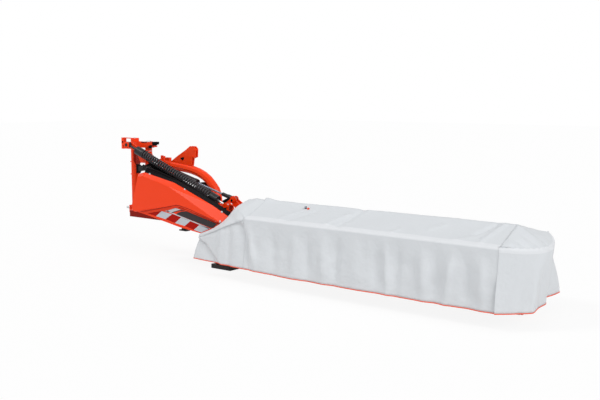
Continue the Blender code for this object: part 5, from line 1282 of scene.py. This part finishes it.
@dataclass(frozen=True)
class EndHalf:
    """One half of the outer end's cloth: its share of the rim, its seam on the roof and what it rides on."""

    side: str
    first: float
    last: float
    seam_start: float
    seam_reach: float
    body: str
    frame: str
    flat: Flat


@dataclass
class Cover(Assembly):
    """The cloth over the guard: one sheet over both halves, its ends, flap and apron, and its piping."""

    body: str = "cutterbar"
    parts: tuple[Part, ...] = (Part("guard_frame", ORANGE, 0.001), Part("front_frame", ORANGE, 0.001))
    length: float = 2.4
    rail_y: float = 0.022
    rail_z: float = 0.566
    rear_z: float = 0.582
    ridge_y: float = 0.31
    ridge_z: float = 0.706
    front: float = 0.95
    hem: float = 0.145
    hem_drop: float = 0.014
    flare: float = 0.028
    stand_off: float = 0.0181
    piping: float = 0.004
    columns: int = 260
    rear_rows: int = 26
    edge_rows: int = 6
    end_height: float = 0.592
    end_roll: float = 0.018
    end_middle: Flat = (2.2, 0.46)
    end_pleat: float = 0.006
    end_ripple: Flat = (0.011, 0.01)
    end_gather: float = 0.003
    fold_gain: float = 1.75
    fold_depth: Flat = (0.022, 0.024)
    fold_fade: Flat = (0.1, 0.14)
    fold_width: float = 0.045
    soft_gain: float = 1.3
    crease_gain: float = 1.7
    sag: float = 0.007
    lump: float = 0.016
    lump_place: Flat = (0.018, 0.31)
    lump_width: Flat = (0.075, 0.05)
    roof_steps: tuple[int, int] = (18, 24)
    curtain_steps: int = 22
    end_steps: int = 70
    folds: tuple[tuple[float, float, float, float], ...] = (
        (0.092, 0.01, 0.035, 0.1), (0.323, -0.012, 0.06, 0.03), (0.568, 0.011, 0.05, -0.03),
        (0.7, -0.012, 0.045, 0.02), (0.865, 0.01, 0.05, 0.02), (0.99, -0.013, 0.05, -0.02),
        (1.187, 0.009, 0.07, 0.05), (1.38, -0.012, 0.05, 0.02), (1.471, 0.01, 0.03, 0.04),
        (1.564, -0.01, 0.045, -0.02), (1.795, 0.014, 0.05, 0.03), (1.9, -0.012, 0.05, 0.0),
        (2.017, 0.015, 0.035, -0.05), (2.149, -0.013, 0.05, 0.03), (2.277, 0.012, 0.045, 0.02))
    creases: tuple[tuple[Flat, Flat, float, float], ...] = (
        ((0.391, 0.108), (0.489, 0.211), 0.0045, 0.02), ((0.472, 0.062), (0.598, 0.183), -0.004, 0.022),
        ((0.864, 0.053), (0.941, 0.176), 0.006, 0.02), ((0.974, 0.042), (1.044, 0.262), -0.005, 0.026),
        ((1.456, 0.016), (1.51, 0.076), 0.0045, 0.018), ((1.784, 0.16), (1.845, 0.208), 0.004, 0.02),
        ((2.166, 0.172), (2.223, 0.256), -0.0085, 0.02), ((2.244, 0.112), (2.291, 0.242), 0.007, 0.024),
        ((2.06, 0.06), (2.16, 0.12), 0.004, 0.024), ((-0.041, 0.013), (-0.026, 0.247), 0.005, 0.014))
    rim: Outline = (
        (2.394, 0.0012), (2.501, 0.061), (2.581, 0.138), (2.632, 0.23), (2.637, 0.37), (2.583, 0.566),
        (2.492, 0.775), (2.384, 0.944))
    foot: Outline = (
        (2.386, -0.03), (2.509, 0.049), (2.57, 0.122), (2.593, 0.204), (2.567, 0.419), (2.513, 0.587),
        (2.503, 0.756), (2.512, 0.905))
    flap_reach: float = 0.5607
    flap_top: Flat = (0.59, 0.204)
    flap_spread: Flat = (0.028, 0.076)
    flap_folds: tuple[Place, ...] = ((-0.172, -0.01, 0.03), (-0.27, 0.008, 0.035))
    first_fold: Outline = (
        (0.14, 0.085), (0.237, 0.079), (0.345, 0.066), (0.435, 0.027), (0.525, -0.013), (0.559, -0.069),
        (0.61, -0.1))
    second_fold: Outline = (
        (0.14, -0.27), (0.179, -0.312), (0.226, -0.375), (0.305, -0.465), (0.354, -0.6), (0.4, -0.76))
    apron_high: tuple[Place, ...] = (
        (-0.6, 0.082, 0.389), (-0.45, 0.096, 0.452), (-0.31, 0.104, 0.545), (-0.225, 0.15, 0.655),
        (-0.18, 0.282, 0.718))
    knob_place: Flat = (0.506, 0.238)
    knob: Outline = (
        (0.0, -0.001), (0.013, -0.001), (0.013, 0.003), (0.007, 0.005), (0.006, 0.009), (0.011, 0.012),
        (0.011, 0.016), (0.008, 0.018))
    tip: Outline = ((0.0, 0.0), (0.011, 0.0), (0.011, 0.006), (0.008, 0.009))
    tip_off: Place = (0.026, 0.0, -0.002)
    apron_low: Outline = ((-0.578, 0.374), (-0.37, 0.452), (-0.18, 0.528), (0.004, 0.594))

    @property
    def edges(self) -> tuple[Place, Place]:
        """Return the y, height and roof's rise in radians of the rear and the front rail's cloth."""
        rear, front = (self.rail_y, self.rear_z), (self.front - self.rail_y, self.rail_z)
        return tuple((y, z, atan2(self.ridge_z - z, abs(self.ridge_y - y))) for y, z in (rear, front))

    def rear_line(self, x: float, z: float) -> float:
        """Return the rear cloth's y at a place, the same for the curtain and for the flap beside it.

        Args:
            x: along the cover.
            z: height.

        Returns:
            The distance forwards, less than 0 where the cloth stands out.
        """
        down = min(1.0, max(0.0, (self.rear_z - z) / (self.rear_z - self.hem)))
        flare = self.flare * down ** 1.6 * (1.0 if x > 0.0 else max(0.0, 1.0 + x / 0.56))
        y = self.rail_y - self.stand_off - flare
        y -= self.hang(x, down, 0.0) * (1.0 if x > 0.0 else ease(1.0 + x / 0.1))
        strength = ease(down * 6.0) * (0.35 + 0.65 * ease((1.0 - down) * 2.5))
        off = x - read_off(self.first_fold, z) + 0.004
        y += self.fold_depth[0] * strength * self.step(off, self.fold_fade[0])
        if x < 0.0:
            y += 0.03 * (x / 0.5585) ** 2
            off = x - read_off(self.second_fold, z) - 0.018
            y += self.fold_depth[1] * ease(down * 3.0) * self.step(off, self.fold_fade[1])
            bulge = sum(depth * bell(x - middle, width) for middle, depth, width in self.flap_folds)
            y -= ease(down * 3.0) * bulge
        return y

    def step(self, off: float, fade: float) -> float:
        """Return a fold's share of its depth, which grows before its line and ends at once behind it."""
        return ease(0.5 - off / self.fold_width) * bell(min(0.0, off), fade)

    def roof(self, y: float) -> float:
        """Return the middle of the cloth's height over a distance forward.

        Args:
            y: forwards from the rear edge.

        Returns:
            The height.
        """
        rise = self.edges[y > self.ridge_y][2]
        straight = self.ridge_z - tan(rise) * abs(y - self.ridge_y) + self.stand_off / cos(rise)
        return straight + 0.002 * bell(y - self.ridge_y, 0.03)

    def hang(self, x: float, down: float, side: float) -> float:
        """Return how far a hanging curtain's folds stand out.

        Args:
            x: along the cover.
            down: 0 at the rail and 1 at the hem.
            side: a number that sets one curtain's folds apart from another's.

        Returns:
            The distance outwards.
        """
        out = sum(depth * bell(x - (middle + slant * (down - 0.5) + 0.31 * side), width)
                  for middle, depth, width, slant in self.folds)
        soft = (0.01 * noise.noise(Vector((x * 2.6, down * 1.3, side * 7.0)))
                + 0.005 * noise.noise(Vector((x * 8.5, down * 3.5, 3.0 + side))))
        strength = ease(down * 1.8) * (1.0 - 0.6 * ease((down - 0.7) / 0.3))
        return (out * self.fold_gain + soft * self.soft_gain) * strength

    def dent(self, x: float, y: float) -> float:
        """Return how far the roof's cloth stands off its straight line, with its creases and its sag.

        Args:
            x: along the cover.
            y: forwards from the rear edge.

        Returns:
            The height.
        """
        bay = (self.length - 0.1) / 3.0
        across = ((y - self.rail_y) / (self.ridge_y - self.rail_y) if y < self.ridge_y
                  else (self.front - y) / (self.front - self.ridge_y))
        sag = self.sag * sin(pi * ((x - 0.03) % bay) / bay) ** 2 * ease(across * 2.0)
        sag *= ease((1.0 - across) * 5.0)
        high = 0.0
        for (x0, y0), (x1, y1), depth, width in self.creases:
            run, off = Vector((x1 - x0, y1 - y0)), Vector((x - x0, y - y0))
            away = off - run * min(1.3, max(-0.3, off.dot(run) / run.length_squared))
            high += self.crease_gain * depth * bell(away.length, width)
        lump = self.lump
        for off, middle, width in zip((x, y), self.lump_place, self.lump_width):
            lump *= bell(off - middle, width)
        return high - sag + lump + 0.0035 * noise.noise(Vector((x * 5.0, y * 7.0, 1.7)))

    def section(self, x: float) -> list[Vector]:
        """Return the cloth's line over the guard at a distance along it, from rear hem to front hem.

        Args:
            x: along the cover.

        Returns:
            The line's points.
        """
        (rear_y, rear_z, rear_rise), (front_y, front_z, front_rise) = self.edges
        radius, low = self.stand_off, self.hem - self.hem_drop * ease(x / 0.5)
        line = [(self.rear_line(x, z), z) for z in spread(low, rear_z, self.rear_rows)[:-1]]
        line += [(rear_y - radius * cos(a), rear_z + radius * sin(a))
                 for a in spread(0.0, pi / 2 - rear_rise, self.edge_rows - 1)]
        rising, falling = self.roof_steps
        up = spread(rear_y - radius * sin(rear_rise), self.ridge_y, rising)[1:]
        down = spread(self.ridge_y, front_y + radius * sin(front_rise), falling)[1:]
        line += [(y, self.roof(y) + self.dent(x, y) * ease(k / 2.5)) for k, y in enumerate(up, 1)]
        line += [(y, self.roof(y) + self.dent(x, y) * ease((falling - k) / 2.5))
                 for k, y in enumerate(down, 1)]
        line += [(front_y + radius * cos(a), front_z + radius * sin(a))
                 for a in spread(pi / 2 - front_rise, 0.0, 5)[1:]]
        for share in spread(0.0, 1.0, self.curtain_steps)[1:]:
            out = radius + self.flare * share ** 1.6 + self.hang(x, share, 1.0)
            line.append((front_y + out, front_z + (self.hem - front_z) * share))
        return [spot(x, y, z) for y, z in line]

    def main_sheet(self, bench: Bench, sections: Sequence[Sequence[Vector]]) -> None:
        """Lay the sheet over both halves of the guard, bending at the ridge.

        Args:
            bench: the maker of meshes.
            sections: the cloth's lines, from the inner to the outer end.
        """
        # The rows over the rounded rear edge take the painted highlight.
        highlight_rows = range(self.rear_rows, self.rear_rows + self.edge_rows + 1)
        made = bench.cloth("cover_sheet", list(zip(*sections)), highlight_rows)
        ridge = spot(0.0, self.ridge_y, self.ridge_z)
        bench.stretch(made, CLOTH, ("cutterbar", "front_guard"), ridge + BACK * 0.02, ridge + AHEAD * 0.02,
                      "rear_curtain", "top_sheet", "front_top_sheet", "front_curtain")

    def end_column(self, half: EndHalf, share: float) -> list[Vector]:
        """Return one line of the outer end's cloth, from its seam on the roof down to the hem.

        Args:
            half: the half that it is in.
            share: where along the end's rim.

        Returns:
            The line's points.
        """
        rim, foot = smooth(self.rim, share), smooth(self.foot, share)
        seam_y = half.seam_start + half.seam_reach * (share - half.first) / (half.last - half.first)
        seam = self.laid(self.length - 0.008, max(seam_y, 0.012))
        top = self.end_height + 0.01 * (1.0 - ease(share * 4.0))
        line = []
        for t in (k / 10 for k in range(9)):
            point = seam.lerp(Vector((rim.x, rim.y, top)), t)
            pleat = sin(share * 46.0) * ease((1.0 - t) * 4.0)
            pleat += noise.noise(Vector((share * 14.0, t * 3.0, 5.0)))
            line.append(point + UP * t * (0.03 * (1.0 - t) + self.end_pleat * pleat))
        inward = (Vector(self.end_middle) - rim).normalized()
        for angle in spread(0.0, pi / 2, 5):
            plan = rim + inward * self.end_roll * (1.0 - sin(angle))
            gather = self.end_gather * sin(share * 92.0) * (1.0 - angle / pi)
            line.append(Vector((*plan, top - self.end_roll * (1.0 - cos(angle)) + gather)))
        top -= self.end_roll
        for down in spread(0.0, 1.0, 24)[1:]:
            ripple = self.end_ripple[0] * sin(share * 21.0 + 0.8)
            ripple += self.end_ripple[1] * noise.noise(Vector((share * 9.0, down * 1.5, 9.0)))
            plan = rim.lerp(foot, ease(down) * 0.6 + down * 0.4) - inward * ripple * ease(down * 1.3)
            line.append(Vector((*plan, top + (self.hem - self.hem_drop - top) * down)))
        return [spot(*point) for point in line]

    def end_sheet(self, bench: Bench, half: EndHalf) -> None:
        """Hang one half of the outer end's cloth.

        Args:
            bench: the maker of meshes.
            half: the half's measures.
        """
        name = "outer_end_sheet_" + half.side
        columns = [self.end_column(half, share) for share in spread(half.first, half.last, self.end_steps)]
        # Rows 9 to 14 roll over the end's rim and take the painted highlight.
        made = bench.cloth(name, list(zip(*columns)), range(9, 15))
        bench.put(made, CLOTH, half.body, "end_curtain_" + half.side)
        self.pipe(bench, name + "_piping", [column[-1] for column in columns], half.body)

    def pipe(self, bench: Bench, name: str, hem: Sequence[Vector], body: str) -> None:
        """Sew the piping under a hem."""
        low = [point - UP * self.piping * 0.6 for point in hem]
        bench.add(name, bench.sweep(low, self.piping, 10), PIPING, body, angle=60.0)

    def laid(self, x: float, y: float, gap: float = 0.0022) -> Vector:
        """Return the place just above the main sheet at a distance along and forwards.

        Args:
            x: along the cover.
            y: forwards from the rear edge.
            gap: how far above the sheet's middle.

        Returns:
            The place, on the rounded edge where y is before or behind the roof's flat.
        """
        near = min(max(y, 0.0), self.front)
        for (edge, rail, rise), way in zip(self.edges, (1.0, -1.0)):
            off = (edge - near) * way
            if off > self.stand_off * sin(rise):
                up = (self.stand_off ** 2 - min(off, self.stand_off) ** 2) ** 0.5
                return Vector((x, near, rail + up + gap))
        return Vector((x, near, self.roof(near) + self.dent(x, near) + gap))

    def inner_flap(self, bench: Bench) -> None:
        """Hang the flap that carries the rear curtain on below the housing's toe.

        Args:
            bench: the maker of meshes.
        """
        rows = []
        for v in spread(0.0, 1.0, 29):
            row = []
            for u in spread(0.0, 1.0, 60):
                x, top = 0.003 - self.flap_reach * u, self.flap_top[0] - self.flap_top[1] * u
                z = top + (self.hem + 0.01 * u - top) * v
                y = self.rear_line(x, z) + 0.002 * (1.0 - u) + 0.004 * ease((1.0 - v) * 9.0 - 7.0)
                row.append(spot(x - (self.flap_spread[0] + self.flap_spread[1] * v) * u ** 1.5, y, z))
            rows.append(row)
        made = bench.put(bench.cloth("inner_flap_sheet", rows), CLOTH, "cutterbar", "inner_flap")
        self.pipe(bench, "inner_flap_piping", rows[-1], "cutterbar")

    def apron_foot(self, u: float, lap: float) -> Vector:
        """Return the apron's lower edge, along the curtain's top and then up the roof's inner seam.

        Args:
            u: the share of the apron's length.
            lap: how far it laps over the cloth below, from 0 to 1.

        Returns:
            The place.
        """
        if u >= 0.75:
            return self.laid(0.004 + 0.008 * lap, 0.0085 + 0.2735 * (u - 0.75) / 0.25)
        x, z = smooth(self.apron_low, u / 0.75)
        z -= 0.016 * lap
        return Vector((x, self.rear_line(x, z) - 0.0022 + 0.01 * ease((u - 0.62) / 0.13), z))

    def apron(self, bench: Bench) -> None:
        """Lay the apron from the roof's inner seam over the joint.

        Args:
            bench: the maker of meshes.
        """
        rows = []
        for j in range(-3, 17):
            v, lap, row = max(0.0, j / 16), max(0.0, -j / 3.0), []
            for u in spread(0.0, 1.0, 64):
                point = self.apron_foot(u, lap).lerp(smooth(self.apron_high, u), v)
                lift = 0.006 * noise.noise(Vector((u * 9.0, v * 3.0, 2.0))) + 0.008 * ease(u * 1.5)
                row.append(spot(*point) + sin(pi * v) * (BACK * 0.012 * (1.0 - u) + UP * lift))
            rows.append(row)
        made = bench.put(bench.cloth("apron_sheet", rows), CLOTH, "cutterbar", "apron")

    def fastener(self, bench: Bench) -> None:
        """Set the fastener with its bright tip on the roof.

        Args:
            bench: the maker of meshes.
        """
        foot = spot(*self.laid(*self.knob_place, 0.0))
        leant = Vector((0.0, -0.3, 1.0)).normalized()
        bench.add("cover_fastener", bench.lathe(self.knob, foot, leant, 24), DULL_ROD, self.body)
        tip = bench.lathe(self.tip, foot + Vector(self.tip_off), Vector((0.0, -0.44, 0.9)), 20)
        bench.add("fastener_tip", tip, PIPING, self.body)

    def detail(self, bench: Bench) -> None:
        """Lay every sheet and its piping.

        Args:
            bench: the maker of meshes.
        """
        sections = [self.section(x) for x in spread(0.0006, self.length + 0.0015, self.columns)]
        self.main_sheet(bench, sections)
        ridge = self.ridge_y
        self.end_sheet(bench, EndHalf("rear", 0.0, 0.5, 0.004, ridge - 0.001, "cutterbar",
                                      "guard_frame_finished", (0.5, 0.58)))
        self.end_sheet(bench, EndHalf("front", 0.49, 1.0, ridge - 0.003, self.front - ridge - 0.001,
                                      "front_guard", "front_frame_finished", (0.8, 0.58)))
        self.inner_flap(bench)
        self.apron(bench)
        self.pipe(bench, "rear_hem_piping", [section[0] for section in sections], "cutterbar")
        self.pipe(bench, "front_hem_piping", [section[-1] for section in sections], "front_guard")
        self.fastener(bench)


@dataclass
class Studio:
    """A pale floor, soft light and the camera of the photograph."""

    camera_place: Place = (4.806, -5.403, 1.667)
    azimuth: float = 37.73
    pitch: float = 7.213
    lens: float = 49.794
    sky: float = 0.44
    floor_tone: float = 0.9
    floor_size: float = 40.0
    suns: tuple[tuple[str, float, float, Place], ...] = (
        ("key_light", 1.12, 16.0, (-0.45, -0.42, 0.79)), ("side_light", 1.6, 30.0, (0.8, -0.3, 0.52)))

    @staticmethod
    def place(name: str, data: bpy.types.ID, look: Vector) -> Thing:
        """Put a camera or a lamp into the scene, turned to look along a direction.

        Args:
            name: its name.
            data: the camera's or lamp's data.
            look: the direction.

        Returns:
            The object.
        """
        made = bpy.data.objects.new(name, data)
        made.rotation_euler = look.to_track_quat("-Z", "Y").to_euler()
        bpy.context.scene.collection.objects.link(made)
        return made

    def camera(self) -> None:
        """Set the camera at the photograph's place and angle."""
        data = bpy.data.cameras.new("camera")
        data.lens = self.lens
        data.sensor_width = 36.0
        a, p = radians(self.azimuth), radians(self.pitch)
        made = self.place("camera", data, Vector((-sin(a) * cos(p), cos(a) * cos(p), -sin(p))))
        made.location = spot(*self.camera_place)
        bpy.context.scene.camera = made

    @staticmethod
    def seen(desk: Desk) -> Socket:
        """Return a mask that is 1 for camera, glossy and transmission rays.

        Args:
            desk: the material's or world's node tree.

        Returns:
            The mask's socket.
        """
        path = desk.add("ShaderNodeLightPath").outputs
        sight = desk.maths("MAXIMUM", path["Is Camera Ray"], path["Is Glossy Ray"])
        return desk.maths("MAXIMUM", sight, path["Is Transmission Ray"])

    def world(self) -> None:
        """Light the scene evenly from all round, with a white background."""
        made = bpy.data.worlds.new("studio_world")
        made.use_nodes = True
        desk, ground = Desk(made.node_tree), made.node_tree.nodes["Background"]
        ground.inputs["Color"].default_value = (1.0, 1.0, 1.0, 1.0)
        desk.feed(ground.inputs["Strength"], desk.maths("MAXIMUM", self.seen(desk), self.sky))
        bpy.context.scene.world = made

    def lamps(self) -> None:
        """Hang a broad key light behind the camera's left and a second light at its right."""
        for name, power, angle, place in self.suns:
            data = bpy.data.lights.new(name, "SUN")
            data.energy = power
            data.angle = radians(angle)
            self.place(name, data, -Vector(place))

    def floor(self) -> None:
        """Lay the pale floor, white to the camera but for a soft shadow."""
        form = bmesh.new()
        bmesh.ops.create_grid(form, x_segments=8, y_segments=8, size=self.floor_size)
        bmesh.ops.translate(form, verts=form.verts, vec=spot(0.0, 0.0, -0.0015))
        made = Bench.settled("studio_floor", form)
        matter = bpy.data.materials.new("pale_floor")
        matter.use_nodes = True
        desk, tone = Desk(matter.node_tree), self.floor_tone
        shader = matter.node_tree.nodes["Principled BSDF"]
        even = {"Base Color": (tone, tone, tone, 1.0), "Roughness": 0.9, "Specular IOR Level": 0.0}
        for key, value in even.items():
            shader.inputs[key].default_value = value
        mix = desk.add("ShaderNodeMixShader")
        glow = desk.add("ShaderNodeEmission", Strength=1.0)
        layers = (desk.maths("MULTIPLY", self.seen(desk), tone), shader.outputs[0], glow.outputs[0])
        for target, value in zip(mix.inputs, layers):
            desk.feed(target, value)
        desk.feed(matter.node_tree.nodes["Material Output"].inputs["Surface"], mix.outputs[0])
        made.data.materials.append(matter)
        made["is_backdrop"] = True


def corners() -> list[list[float]]:
    """Return the lowest and highest corner of what is shown, as plain lists."""
    return [[round(part, 5) for part in corner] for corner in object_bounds()]


def main() -> None:
    logging.basicConfig(level=logging.INFO, format="%(name)s: %(message)s")
    for made in list(bpy.data.objects):
        bpy.data.objects.remove(made, do_unlink=True)
    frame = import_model()
    studio, bench = Studio(), Bench(frame)
    studio.camera()
    float_spring = SuspensionSpring(
        prefix="float_spring", anchor=(-1.5, 0.914), pin=(-0.56, 0.668), y=0.495, radius=0.0285,
        wire=0.0055, curls=20, head_length=0.16, tail_reach=0.53, ends=("float_head", "float_tail"),
        upper_cap=0.03, lower_cap=0.03, rod_finish=DULL_ROD, boot=0.16)
    for assembly in (Headstock(), SwingFrame(), SuspensionSpring(), float_spring, LiftCylinder(),
                     BeltHousing(), BeltDrive(), Arm(), Cutterbar(), Discs(), Cover()):
        assembly.build(bench)
    studio.world()
    studio.lamps()
    studio.floor()
    bpy.context.scene.view_settings.view_transform = "Standard"
    LOG.info("%d pieces built", bench.count)


if __name__ == "__main__":
    main()
